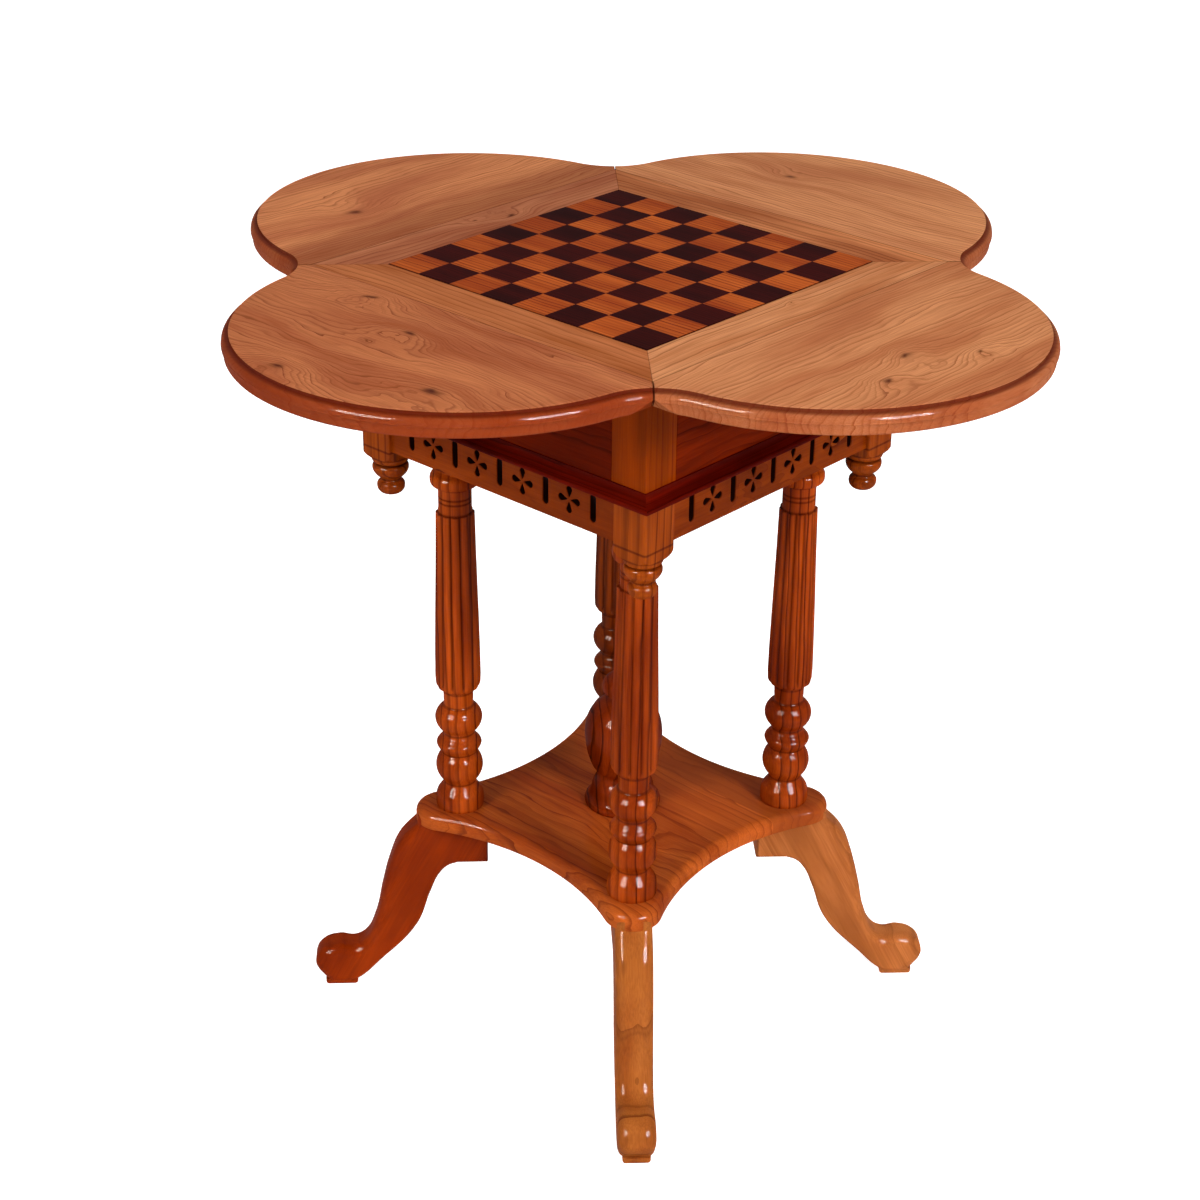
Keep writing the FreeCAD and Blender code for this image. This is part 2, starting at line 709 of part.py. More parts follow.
def main():
    os.makedirs("parts", exist_ok=True)
    export("dark_squares", squares(0))
    export("light_squares", squares(1))
    export("board_core", board())
    mortise_top = bottom_underside + tenon_length + tenon_clearance
    export("bottom_board", with_mortises(bottom_board(), bottom_underside, mortise_top))
    export("shelf", shelf())
    export("shelf_finial", finial())
    side_pieces = {"border": border(), "leaf": leaf(), "leaf_hinge_plates": leaf_plates(), "loper": loper()}
    side_pieces.update({"box_side": box_wall_panel(), "cove_rail": cove_rail(), "frieze": frieze()})
    for side, angle in SIDES.items():
        for name, shape in side_pieces.items():
            export(name + "_" + side, turned_about_z(shape, angle))
    corner_pieces = {"corner_post": corner_post(), "corner_block": corner_block()}
    corner_pieces.update({"column": column(), "leg": leg()})
    for corner, angle in CORNERS.items():
        for name, shape in corner_pieces.items():
            export(name + "_" + corner, turned_about_z(shape, angle))
    for name, shape in (("fixed_hinge_plates", fixed_plates()), ("keepers", keeper())):
        export(name, Part.makeCompound([turned_about_z(shape, angle) for angle in SIDES.values()]))


main()
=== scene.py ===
import math

import bmesh
import bpy
from mathutils import Matrix, Vector


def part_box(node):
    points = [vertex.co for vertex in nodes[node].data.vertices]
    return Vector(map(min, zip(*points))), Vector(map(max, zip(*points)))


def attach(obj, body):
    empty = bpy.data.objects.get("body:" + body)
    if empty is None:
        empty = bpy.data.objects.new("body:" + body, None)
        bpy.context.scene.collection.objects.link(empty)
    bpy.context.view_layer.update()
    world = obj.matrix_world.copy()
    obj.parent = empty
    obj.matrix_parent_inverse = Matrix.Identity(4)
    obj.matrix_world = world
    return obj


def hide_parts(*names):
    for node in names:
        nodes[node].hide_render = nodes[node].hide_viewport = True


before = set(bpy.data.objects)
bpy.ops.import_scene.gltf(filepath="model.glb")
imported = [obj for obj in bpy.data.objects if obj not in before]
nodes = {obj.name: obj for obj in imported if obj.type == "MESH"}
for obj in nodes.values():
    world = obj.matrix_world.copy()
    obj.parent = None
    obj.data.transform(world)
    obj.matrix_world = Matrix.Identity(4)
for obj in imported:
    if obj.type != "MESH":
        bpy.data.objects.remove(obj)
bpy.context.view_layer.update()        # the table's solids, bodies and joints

mm = 0.001


# ---- Legs ----
# Four legs sawn from thick teak plank, one under each round corner of the shelf: a square knee block, an
# outward sweep and a scroll foot on a small pad. Their arrises are rounded over and the whole is lacquered.

CORNERS = {"back_right": 0, "back_left": 90, "front_left": 180, "front_right": 270}

shelf_low, shelf_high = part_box("shelf")
knee_top = shelf_low.z / mm
leg_thickness = 35.0
leg_rounding = 10.0           # of the outer arrises
inner_share = 0.3             # of that rounding, on the inner arrises
knee_inner = 132.0            # along the diagonal, from the table's middle
knee_foot = knee_top - 43.0
knee_end = knee_inner + 30.0
leg_outer = 200.0             # where the back of the leg meets the shelf
let_in = 10.0                 # how far the leg's head is let into the shelf
toe = 283.0                   # middle of the scroll
toe_height = 24.5
toe_radius = 22.5
toe_top = toe_height + toe_radius
pad_middle = 280.0
pad_length = 32.0
pad_width = 26.0
pad_height = 7.0
pad_easing = 3.0
plank_slant = 27              # degrees between the leg's grain and the upright
leg_pith = 232.0              # heart of the tree, along the turned across direction


def edit(piece):
    """Opens one piece in edit mode, with nothing else selected."""
    if bpy.context.object and bpy.context.object.mode != "OBJECT":
        bpy.ops.object.mode_set(mode="OBJECT")
    bpy.ops.object.select_all(action="DESELECT")
    bpy.context.view_layer.objects.active = piece
    piece.select_set(True)
    bpy.ops.object.mode_set(mode="EDIT")


def pick(kind, test):
    """Selects the verts, edges or faces of the piece in edit mode that pass a test, and nothing else."""
    bpy.ops.mesh.select_mode(type=kind)
    bpy.ops.mesh.select_all(action="DESELECT")
    work = bmesh.from_edit_mesh(bpy.context.object.data)
    for part in {"VERT": work.verts, "EDGE": work.edges, "FACE": work.faces}[kind]:
        if test(part):
            part.select_set(True)
    bmesh.update_edit_mesh(bpy.context.object.data)


def middle(edge):
    return (edge.verts[0].co + edge.verts[1].co) / 2


def ease(radius, segments, test):
    """Rounds over the edges that pass a test, on the piece in edit mode."""
    pick("EDGE", test)
    bpy.ops.mesh.bevel(offset=radius * mm, segments=segments)


def weld(distance=0.005):
    """Merges points of the piece in edit mode that lie closer than a distance."""
    bpy.ops.mesh.select_all(action="SELECT")
    bpy.ops.mesh.remove_doubles(threshold=distance * mm)


def face_outwards():
    bpy.ops.mesh.select_all(action="SELECT")
    bpy.ops.mesh.normals_make_consistent(inside=False)


def settle(crease=35):
    """Finishes the piece in edit mode: welds it, turns its faces outwards and smooths all but sharp edges."""
    bpy.ops.mesh.select_mode(type="VERT")
    weld()
    face_outwards()
    bpy.ops.object.mode_set(mode="OBJECT")
    bpy.ops.object.shade_smooth_by_angle(angle=math.radians(crease))


def cuboid(location, scale, size=1):
    bpy.ops.mesh.primitive_cube_add(size=size, location=location, scale=scale)
    bpy.ops.object.transform_apply()
    return bpy.context.object


SHARP = True                  # third part of a drawn point that is a corner; other points are passed smoothly


def drawn_line(points, place, closed=True, fineness=8):
    """Wire drawn through points in millimetres."""
    bpy.ops.curve.primitive_bezier_curve_add()
    drawing = bpy.context.object
    line = drawing.data.splines[0]
    line.bezier_points.add(len(points) - 2)
    for point, (first, second, *sharp) in zip(line.bezier_points, points):
        point.co = Vector(place(first, second)) * mm
        point.handle_left_type = point.handle_right_type = "VECTOR" if sharp else "AUTO"
    line.use_cyclic_u = closed
    line.resolution_u = fineness
    bpy.ops.object.convert(target="MESH")
    return bpy.context.object


def upright(across, up):
    return across, 0, up


def sawn(points, thickness, place=upright, direction=(0, 1, 0), fineness=8):
    """Board sawn to a drawn outline, half its thickness to each side of the plane it is drawn in."""
    piece = drawn_line(points, place, fineness=fineness)
    direction = Vector(direction) * thickness * mm
    edit(piece)
    weld()
    bpy.ops.mesh.edge_face_add()
    bpy.ops.transform.translate(value=-direction / 2)
    bpy.ops.mesh.extrude_region_move(TRANSFORM_OT_translate={"value": direction})
    face_outwards()
    return piece


def joined(pieces):
    """One piece made of several."""
    bpy.ops.object.select_all(action="DESELECT")
    for piece in pieces:
        piece.select_set(True)
    bpy.context.view_layer.objects.active = pieces[0]
    bpy.ops.object.join()
    return pieces[0]


def copy_round(piece, name, angle):
    """Copy of a piece, with its own mesh, carried round the table's middle."""
    copy = piece.copy()
    copy.data = piece.data.copy()
    copy.data.transform(Matrix.Rotation(math.radians(angle), 4, "Z"))
    copy.name = name
    bpy.context.scene.collection.objects.link(copy)
    return copy


def add(tree, kind, inputs=(), **settings):
    """New shader node. An input is a value or another node's output."""
    made = tree.nodes.new("ShaderNode" + kind)
    for name, value in settings.items():
        setattr(made, name, value)
    for socket, value in dict(inputs).items():
        if isinstance(value, bpy.types.NodeSocket):
            tree.links.new(value, made.inputs[socket])
        else:
            made.inputs[socket].default_value = value
    return made


def sums(tree, operation, *values):
    return add(tree, "Math", dict(enumerate(values)), operation=operation).outputs[0]


def vectors(tree, operation, *values):
    return add(tree, "VectorMath", dict(enumerate(values)), operation=operation).outputs[0]


def length(tree, vector):
    return add(tree, "VectorMath", {0: vector}, operation="LENGTH").outputs["Value"]


def spread(tree, value, low, high):
    """Stretches a range to 0..1 and holds it there."""
    return add(tree, "MapRange", {0: value, 1: low, 2: high}, interpolation_type="SMOOTHSTEP").outputs[0]


def mixed(tree, mask, first, second):
    return add(tree, "Mix", {0: mask, 6: first, 7: second}, data_type="RGBA").outputs[2]


def tone(red, green, blue):
    """Colour as a painter names it, 0 to 255, for a shader."""
    shares = (part / 255 for part in (red, green, blue))
    return tuple(s / 12.92 if s <= 0.04045 else ((s + 0.055) / 1.055) ** 2.4 for s in shares) + (1.0,)


def new_group(name, inputs, outputs):
    """Empty node group with its sockets; gives its tree, what comes in, and its exit."""
    tree = bpy.data.node_groups.new(name, "ShaderNodeTree")
    for direction, sockets in (("INPUT", inputs), ("OUTPUT", outputs)):
        for socket, kind in sockets.items():
            tree.interface.new_socket(socket, in_out=direction, socket_type="NodeSocket" + kind)
    return tree, tree.nodes.new("NodeGroupInput").outputs, tree.nodes.new("NodeGroupOutput").inputs


def wood_figure():
    """Rings, fibres and patches of a plank, whose vector runs across, along and through the grain."""
    inputs = {"Plank": "Vector", "Ring Spacing": "Float", "Waviness": "Float", "Bend": "Float"}
    outputs = {"Rings": "Float", "Fibres": "Float", "Patches": "Float"}
    tree, inside, out = new_group("wood figure", inputs, outputs)

    def noise(vector, across, along, detail):
        stretched = vectors(tree, "MULTIPLY", vector, (across, along, across))
        return add(tree, "TexNoise", {"Vector": stretched, "Scale": 1.0, "Detail": detail}).outputs["Fac"]

    place = add(tree, "SeparateXYZ", {0: inside["Plank"]}).outputs
    drift = sums(tree, "SUBTRACT", noise(inside["Plank"], 8, 2.2, 1.0), 0.5)
    ripple = sums(tree, "SUBTRACT", noise(inside["Plank"], 45, 14, 2.0), 0.5)
    ripple = sums(tree, "MULTIPLY", ripple, 0.3)
    wander = sums(tree, "MULTIPLY", sums(tree, "ADD", drift, ripple), inside["Waviness"])
    field = sums(tree, "ADD", sums(tree, "ADD", place["X"], inside["Bend"]), wander)
    turns = sums(tree, "DIVIDE", field, inside["Ring Spacing"])
    late = sums(tree, "POWER", sums(tree, "FRACT", turns), 3.0)
    year = sums(tree, "MULTIPLY", turns, 0.43)
    years = add(tree, "TexNoise", {"W": year, "Detail": 2.0}, noise_dimensions="1D").outputs["Fac"]
    strong = spread(tree, years, 0.32, 0.68)
    tree.links.new(sums(tree, "MULTIPLY", late, sums(tree, "ADD", strong, 0.15)), out["Rings"])
    tree.links.new(spread(tree, noise(inside["Plank"], 900, 22, 3.0), 0.3, 0.7), out["Fibres"])
    bent = add(tree, "CombineXYZ", {0: field, 1: place["Y"], 2: place["Z"]}).outputs[0]
    tree.links.new(spread(tree, noise(bent, 30, 5, 3.0), 0.3, 0.7), out["Patches"])
    return tree


def knot_figure():
    """A knot: how far it pushes the rings aside, and its dark heart."""
    inputs = {"Plank": "Vector", "Place": "Vector", "Size": "Float", "Strength": "Float"}
    tree, inside, out = new_group("knot", inputs, {"Bend": "Float", "Heart": "Float"})
    wobble = add(tree, "TexNoise", {"Vector": inside["Plank"], "Scale": 40.0, "Detail": 2.0}).outputs["Color"]
    wobble = vectors(tree, "SUBTRACT", wobble, (0.5,) * 3)
    wobble = vectors(tree, "MULTIPLY", wobble, (18 * mm,) * 3)
    away = vectors(tree, "SUBTRACT", inside["Plank"], inside["Place"])
    away = vectors(tree, "ADD", away, wobble)
    away = vectors(tree, "MULTIPLY", away, (1.0, 0.6, 0.0))
    share = sums(tree, "DIVIDE", length(tree, away), inside["Size"])
    square = sums(tree, "MULTIPLY", share, share)
    bump = sums(tree, "EXPONENT", sums(tree, "MULTIPLY", square, -1.0))
    tree.links.new(sums(tree, "MULTIPLY", bump, inside["Strength"]), out["Bend"])
    tree.links.new(sums(tree, "EXPONENT", sums(tree, "MULTIPLY", square, -40.0)), out["Heart"])
    return tree


figure_group = wood_figure()
knot_group = knot_figure()


def surface_of(name):
    """New material, with its node tree and its shader's sockets."""
    material = bpy.data.materials.new(name)
    material.use_nodes = True
    return material, material.node_tree, material.node_tree.nodes["Principled BSDF"].inputs


def teak(name, pale, deep, line, turns=(), shift=(0, 0, 0), pith=None, spacing=6.0, waviness=40.0, knots=(),
         rings=0.75, gloss=0.05, plank=None):
    """Lacquered teak. Turns bring the grain to the Y axis; a pith makes the rings run round an upright axis.

    A knot is (across, along, size, strength) in millimetres. The pattern's place on the plank is its shift.
    """
    fibre_share = 0.28
    fibre_depth = 0.1 * mm
    material, tree, surface = surface_of(name)
    place = plank(tree) if plank else add(tree, "TexCoord").outputs["Object"]
    for turn in turns:
        angles = tuple(math.radians(angle) for angle in turn)
        place = add(tree, "Mapping", {"Vector": place, "Rotation": angles}).outputs[0]
    if pith:
        parts = add(tree, "SeparateXYZ", {0: place}).outputs
        across = add(tree, "CombineXYZ", {0: parts["X"], 1: parts["Y"]}).outputs[0]
        away = vectors(tree, "SUBTRACT", across, (pith[0] * mm, pith[1] * mm, 0))
        place = add(tree, "CombineXYZ", {0: length(tree, away), 1: parts["Z"], 2: parts["Y"]}).outputs[0]
    bend = 0.0
    heart = 0.0
    for across, along, size, strength in knots:
        where = {"Plank": place, "Place": (across * mm, along * mm, 0), "Size": size * mm,
                 "Strength": strength * mm}
        knot = add(tree, "Group", where, node_tree=knot_group).outputs
        bend = sums(tree, "ADD", knot["Bend"], bend)
        heart = sums(tree, "MAXIMUM", knot["Heart"], heart)
    plank_cut = {"Plank": vectors(tree, "ADD", place, tuple(s * mm for s in shift)),
                 "Ring Spacing": spacing * mm, "Waviness": waviness * mm, "Bend": bend}
    figure = add(tree, "Group", plank_cut, node_tree=figure_group).outputs
    colour = mixed(tree, figure["Patches"], tone(*deep), tone(*pale))
    colour = mixed(tree, sums(tree, "MULTIPLY", figure["Rings"], rings), colour, tone(*line))
    colour = mixed(tree, sums(tree, "MULTIPLY", figure["Fibres"], fibre_share), colour, tone(*line))
    if knots:
        colour = mixed(tree, heart, colour, tone(*(part * 0.75 for part in line)))
    tree.links.new(colour, surface["Base Color"])
    rough = sums(tree, "ADD", sums(tree, "MULTIPLY", figure["Fibres"], 0.12), 0.36)
    tree.links.new(rough, surface["Roughness"])
    relief = add(tree, "Bump", {"Height": figure["Fibres"], "Strength": 0.12, "Distance": fibre_depth})
    tree.links.new(relief.outputs[0], surface["Normal"])
    surface["Specular IOR Level"].default_value = 0.0
    surface["Coat Weight"].default_value = gloss
    surface["Coat Roughness"].default_value = 0.1
    return material


def finish_with(piece, material):
    """Gives a piece one material all over."""
    piece.data.materials.clear()
    piece.data.materials.append(material)


leg_outline = [(knee_inner, knee_top + let_in, SHARP), (knee_inner, knee_foot, SHARP),
               (knee_end, knee_foot, SHARP), (knee_end + 9, knee_foot - 3),
               (knee_end + 18, knee_foot - 12.5), (knee_end + 27, knee_foot - 33),
               (knee_end + 41, knee_foot - 71), (toe - 41, toe_height + 5), (toe - 22, pad_height + 4),
               (toe - 14, pad_height, SHARP), (toe + 10, pad_height, SHARP),
               (toe + 16.5, toe_height - 10.5), (toe + 20.6, toe_height - 5),
               (toe + toe_radius, toe_height + 3), (toe + 16, toe_height + 16), (toe - 1, toe_top),
               (toe - 17, toe_top - 1.5), (toe - 28, toe_top + 5.5), (toe - 38, toe_top + 27),
               (leg_outer + 36, knee_top - 74), (leg_outer + 29, knee_top - 47),
               (leg_outer + 18, knee_top - 20), (leg_outer, knee_top, SHARP),
               (leg_outer, knee_top + let_in, SHARP)]
leg_master = sawn(leg_outline, leg_thickness)
bpy.ops.mesh.dissolve_limited(angle_limit=math.radians(0.5))
half_leg = leg_thickness / 2 * mm


def arris_share(edge):
    """How far an edge of the leg is rounded over: outer arrises fully, inner ones by their share."""
    ends = [v.co.y for v in edge.verts]
    if ends[0] * ends[1] < 0 or any(abs(abs(y) - half_leg) > 0.01 * mm for y in ends):
        return 0.0
    facing = next(face.normal for face in edge.link_faces if abs(face.normal.y) < 0.5)
    on_underside = facing.x < -0.01 and facing.z < 0.01
    on_knee_or_pad = facing.z < -0.99 or middle(edge).x < (knee_inner + 0.1) * mm
    return inner_share if on_underside or on_knee_or_pad else 1.0


for share in (inner_share, 1.0):
    pick("EDGE", lambda e: arris_share(e) == share)
    bpy.ops.transform.edge_bevelweight(value=share)
settle()
rounding = leg_master.modifiers.new("rounding", "BEVEL")
rounding.limit_method = "WEIGHT"
rounding.width = leg_rounding * mm
rounding.segments = 6
rounding.use_clamp_overlap = False
bpy.ops.object.modifier_apply(modifier=rounding.name)
edit(leg_master)
settle()
pad = cuboid((pad_middle * mm, 0, pad_height / 2 * mm), (pad_length, pad_width, pad_height), mm)
edit(pad)
ease(pad_easing, 4, lambda e: middle(e).z < (pad_height - 1) * mm)
settle()
leg_master = joined([leg_master, pad])
leg_master.data.transform(Matrix.Rotation(math.radians(45), 4, "Z"))
# Each leg's tones differ partly as its plank does and partly by painted light and shade: the back-left leg,
# on the side away from the stronger lamp, is darkest, and the front-right leg is lightest.
leg_tones_and_shade = {"back_right": ((156, 78, 26), (127, 56, 15), (78, 28, 6)),
             "back_left": ((144, 47, 3), (115, 32, 1), (67, 14, 1)),
             "front_left": ((168, 94, 38), (136, 64, 20), (84, 32, 7)),
             "front_right": ((196, 116, 60), (164, 89, 40), (98, 45, 18))}
leg_rings = {"back_right": 0.4, "back_left": 0.15, "front_left": 0.7, "front_right": 0.4}
for corner, angle in CORNERS.items():
    leg = copy_round(leg_master, "sawn_leg_" + corner, angle)
    wood = teak("leg_wood_" + corner, *leg_tones_and_shade[corner], turns=((0, 0, -45 - angle), (0, plank_slant, 0)),
                pith=(leg_pith, 0), shift=(angle, 3 * angle, 0), spacing=14, waviness=20,
                rings=leg_rings[corner])
    finish_with(leg, wood)
    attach(leg, "base")
    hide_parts("leg_" + corner)
bpy.data.objects.remove(leg_master)


# ---- Shelf ----
# Shelf of glued teak boards with four round corners and four hollow sides; its top edge is rounded over.
# The legs are fixed under it, and the columns' lower tenons are let into its round corners.

SIDES = {"right": 0, "back": 90, "left": 180, "front": 270}
column_offset = 112.0         # column centres from the table's middle
shelf_waist = 120.5           # middle of a hollow side
shelf_lobe = 27.0             # radius of a round corner
lobe_offset = column_offset + 11.3
shelf_thickness = (shelf_high.z - shelf_low.z) / mm
shelf_nosing = 8.0
underside_easing = 1.5
drop = shelf_waist - lobe_offset
shelf_hollow = (lobe_offset ** 2 + drop ** 2 - shelf_lobe ** 2) / (2 * (shelf_lobe - drop))
hollow_centre = shelf_waist + shelf_hollow
hollow_sweep = math.atan2(lobe_offset, hollow_centre - lobe_offset)


def start_point(x, y, z):
    """New piece that is one vertex, selected in edit mode and ready to be extruded or spun."""
    bpy.ops.mesh.primitive_plane_add()
    piece = bpy.context.object
    edit(piece)
    bpy.ops.mesh.select_mode(type="VERT")
    bpy.ops.mesh.select_all(action="SELECT")
    bpy.ops.mesh.merge(type="CENTER")
    bpy.ops.transform.translate(value=(x * mm, y * mm, z * mm))
    return piece


def spin(centre, sweep, steps):
    """Carries what is selected round an upright axis, anticlockwise, and leaves the far end selected."""
    bpy.ops.mesh.spin(steps=steps, angle=-sweep, center=(centre[0] * mm, centre[1] * mm, 0), axis=(0, 0, 1))


def level_with(edge, height):
    """Whether both ends of an edge lie at a height."""
    return all(abs(v.co.z - height) < 0.01 * mm for v in edge.verts)


shelf_board = start_point(shelf_waist, 0, knee_top)
for turn in range(4):
    quarter = Matrix.Rotation(math.radians(90 * turn), 2)
    spin(quarter @ Vector((hollow_centre, 0)), -hollow_sweep, 20)
    spin(quarter @ Vector((lobe_offset, lobe_offset)), math.pi / 2 + 2 * hollow_sweep, 28)
    spin(quarter @ Vector((0, hollow_centre)), -hollow_sweep, 20)
weld(0.02)
bpy.ops.mesh.edge_face_add()
bpy.ops.mesh.extrude_region_move(TRANSFORM_OT_translate={"value": (0, 0, shelf_thickness * mm)})
face_outwards()
ease(shelf_nosing, 6, lambda e: level_with(e, shelf_high.z))
ease(underside_easing, 3, lambda e: level_with(e, shelf_low.z))
settle()
shelf_board.name = "glued_shelf"


def place_along(tree, axis, turn=0):
    """Where a point lies along an axis, in millimetres, when the table is turned back by an angle."""
    place = add(tree, "TexCoord").outputs["Object"]
    if turn:
        place = add(tree, "Mapping", {"Vector": place, "Rotation": (0, 0, math.radians(-turn))}).outputs[0]
    return sums(tree, "DIVIDE", add(tree, "SeparateXYZ", {0: place}).outputs[axis], mm)


def stained(material, mask, colour, share=1.0):
    """Lays a share of a colour over a material where the mask is one."""
    tree = material.node_tree
    base = tree.nodes["Principled BSDF"].inputs["Base Color"]
    under = base.links[0].from_socket
    tree.links.new(mixed(tree, sums(tree, "MULTIPLY", mask, share), under, tone(*colour)), base)


shelf_wood = teak("shelf_wood", (196, 94, 32), (150, 60, 17), (88, 28, 6), shift=(20, 100, 0), spacing=9,
                  waviness=60, knots=((-40, -60, 22, 30),))
tree = shelf_wood.node_tree
line_fade = 0.4               # half the width over which one board's tone changes to the next
glue_lines = ((-48, -1, (104, 36, 12), 0.15), (72, 1, (92, 36, 14), 0.55), (18, 1, (196, 92, 34), 0.25))
for x, beyond, colour, share in glue_lines:
    board = spread(tree, place_along(tree, "X"), x - beyond * line_fade, x + beyond * line_fade)
    stained(shelf_wood, board, colour, share)
finish_with(shelf_board, shelf_wood)
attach(shelf_board, "base")
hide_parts("shelf")


# ---- Finial ----
# Turned ornament in the middle of the shelf, in one piece: a bell foot, a full bulb, a thin neck and a
# flattened ball. It is dowelled to the shelf from below.

LATHE_FLATS = 96


def turned(profile, level, centre=(0, 0)):
    """Piece turned on a lathe: radii and heights above a level, from pole to pole, spun once round."""
    raised = [(radius, level + height, *sharp) for radius, height, *sharp in profile]
    piece = drawn_line(raised, upright, closed=False, fineness=6)
    edit(piece)
    bpy.ops.mesh.select_all(action="SELECT")
    bpy.ops.mesh.spin(steps=LATHE_FLATS, angle=2 * math.pi, center=(0, 0, 0), axis=(0, 0, 1))
    weld()
    bpy.ops.transform.translate(value=(centre[0] * mm, centre[1] * mm, 0))
    return piece


shelf_face = shelf_high.z / mm
finial_profile = [(0, 0, SHARP), (36, 0, SHARP), (37, 2.5), (36, 6, SHARP), (33, 8), (29, 22), (24.2, 33),
                  (24.5, 36.5, SHARP), (27, 38), (33.5, 52), (37, 70), (37, 84), (33, 98), (25, 108),
                  (16, 113, SHARP), (12.8, 115), (13.5, 118, SHARP), (18.5, 120.5), (20.9, 127),
                  (18.5, 134.5), (11, 139.5), (0, 141)]
finial = turned(finial_profile, shelf_face)
settle()
finial.name = "turned_finial"
finish_with(finial, teak("finial_wood", (138, 46, 6), (94, 25, 2), (38, 8, 1), pith=(71, -71), spacing=8,
                         waviness=24, rings=0.9))
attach(finial, "base")
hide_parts("shelf_finial")


# ---- Columns ----
# Four columns turned from square teak: a base, a bulb, a sharp ring and a second bulb, then a tapered shaft
# carved with twelve reeds, a neck and a disc under the bottom board. A square tenon at each end holds them.

reed_count = 12
flats_per_reed = LATHE_FLATS // reed_count
reed_foot = shelf_face + 129.0
reed_head = shelf_face + 313.0
reed_depth = 0.13             # of the grooves, as a share of the radius
column_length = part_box("bottom_board")[0].z / mm - shelf_face
column_profile = [(0, 0, SHARP), (22.4, 0, SHARP), (23, 2), (23, 7), (22.6, 13, SHARP), (21.5, 16),
                  (17.5, 22), (15.4, 25.6), (16.2, 29, SHARP), (19.8, 34), (22.3, 41), (22.3, 48),
                  (19.8, 55), (16.8, 59, SHARP), (18, 61.6), (21.3, 67.6), (21.5, 70), (18, 75), (15.3, 79),
                  (15.6, 83, SHARP), (19.8, 88), (22.3, 94.5), (22.2, 100), (19.4, 106), (16, 109.6, SHARP),
                  (14.6, 110.6), (14.2, 118), (14.6, 128.4, SHARP), (17.4, 129.2), (20.4, 132), (21.4, 139),
                  (21.5, 151), (20.6, 200), (19.0, 263), (18.0, 313, SHARP), (15.5, 313.2, SHARP),
                  (15.5, 323.8, SHARP), (15.0, 324.3, SHARP), (15.5, 324.8, SHARP), (15.5, 328.3, SHARP),
                  (15.0, 328.8, SHARP), (15.5, 329.3, SHARP), (15.5, 338.5, SHARP), (17.5, 339.5),
                  (21.5, 341.5), (22.8, 346), (21.8, 351), (18.5, 353.5, SHARP), (15.5, 354, SHARP),
                  (15.5, column_length, SHARP), (0, column_length, SHARP)]
column_master = turned(column_profile, shelf_face)


def reed_place(vert):
    """How many flats a point of the shaft lies from the nearest groove between two reeds."""
    flat = round(math.atan2(vert.co.y, vert.co.x) / (2 * math.pi) * LATHE_FLATS) % flats_per_reed
    return min(flat, flats_per_reed - flat)


half_reed = flats_per_reed / 2
for low, high, share in ((reed_foot + 0.5, reed_foot + 4, 0.35), (reed_foot + 4, reed_foot + 8, 0.7),
                         (reed_foot + 8, reed_head + 0.1, 1.0)):
    for flats in range(flats_per_reed // 2):
        sunk = reed_depth * share * (1 - flats / half_reed) ** 2
        pick("VERT", lambda v: low < v.co.z / mm <= high and reed_place(v) == flats)
        bpy.ops.transform.resize(value=(1 - sunk, 1 - sunk, 1), center_override=(0, 0, 0))
bpy.ops.mesh.select_all(action="SELECT")
bpy.ops.transform.translate(value=(column_offset * mm, column_offset * mm, 0))
settle(crease=30)
column_grooves = (27, 60.5, 81, 111, 126, 128.6, 313.4, 324.3, 328.8, 338.6)
groove_width = 1.8
# colour of the painted shade in the grooves and between the reeds
groove_shade = (44, 10, 2)


def dark_grooves(material, level, heights, share):
    """Darkens a turned piece in its grooves, at heights above a level: painted shade."""
    tree = material.node_tree
    z = place_along(tree, "Z")
    mask = 0.0
    for height in heights:
        away = sums(tree, "ABSOLUTE", sums(tree, "SUBTRACT", z, level + height))
        mask = sums(tree, "MAXIMUM", spread(tree, away, groove_width, 0.2 * groove_width), mask)
    stained(material, mask, groove_shade, share)


def dark_reeds(material, angle):
    """Darkens the hollows between a column's reeds: painted shade."""
    tree = material.node_tree
    x, y = (sums(tree, "SUBTRACT", place_along(tree, axis, angle), column_offset) for axis in "XY")
    reed = sums(tree, "DIVIDE", sums(tree, "ARCTAN2", y, x), 2 * math.pi / reed_count)
    away = sums(tree, "ABSOLUTE", sums(tree, "SUBTRACT", reed, sums(tree, "ROUND", reed)))
    z = place_along(tree, "Z")
    above_foot = spread(tree, z, reed_foot + 2, reed_foot + 8)
    below_head = spread(tree, z, reed_head + 0.2, reed_head)
    reeded = sums(tree, "MULTIPLY", above_foot, below_head)
    hollows = sums(tree, "MULTIPLY", spread(tree, away, 0.2, 0.02), reeded)
    stained(material, hollows, groove_shade, 0.55)


column_tones = ((164, 66, 14), (112, 34, 3), (52, 12, 1))
# Each column gets a share of the same tones: painted light and shade, darkest on the back-right column behind
# the others.
column_light_and_shade = {"back_right": 0.8, "back_left": 1.08, "front_left": 1.06, "front_right": 1.1}
column_pith = {"back_right": (183, 41), "back_left": (183, 183), "front_left": (183, 41),
               "front_right": (183, 183)}
for corner, angle in CORNERS.items():
    column = copy_round(column_master, "reeded_column_" + corner, angle)
    shades = [tuple(column_light_and_shade[corner] * part for part in shade) for shade in column_tones]
    wood = teak("column_wood_" + corner, *shades, turns=((0, 0, -angle),), pith=column_pith[corner],
                shift=(11 * angle / 90, 130 * angle / 90, 0), spacing=8, waviness=14, rings=0.85)
    # painted shade between the reeds and in the grooves
    dark_reeds(wood, angle)
    dark_grooves(wood, shelf_face, column_grooves, 0.5)
    finish_with(column, wood)
    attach(column, "base")
    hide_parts("column_" + corner)
bpy.data.objects.remove(column_master)


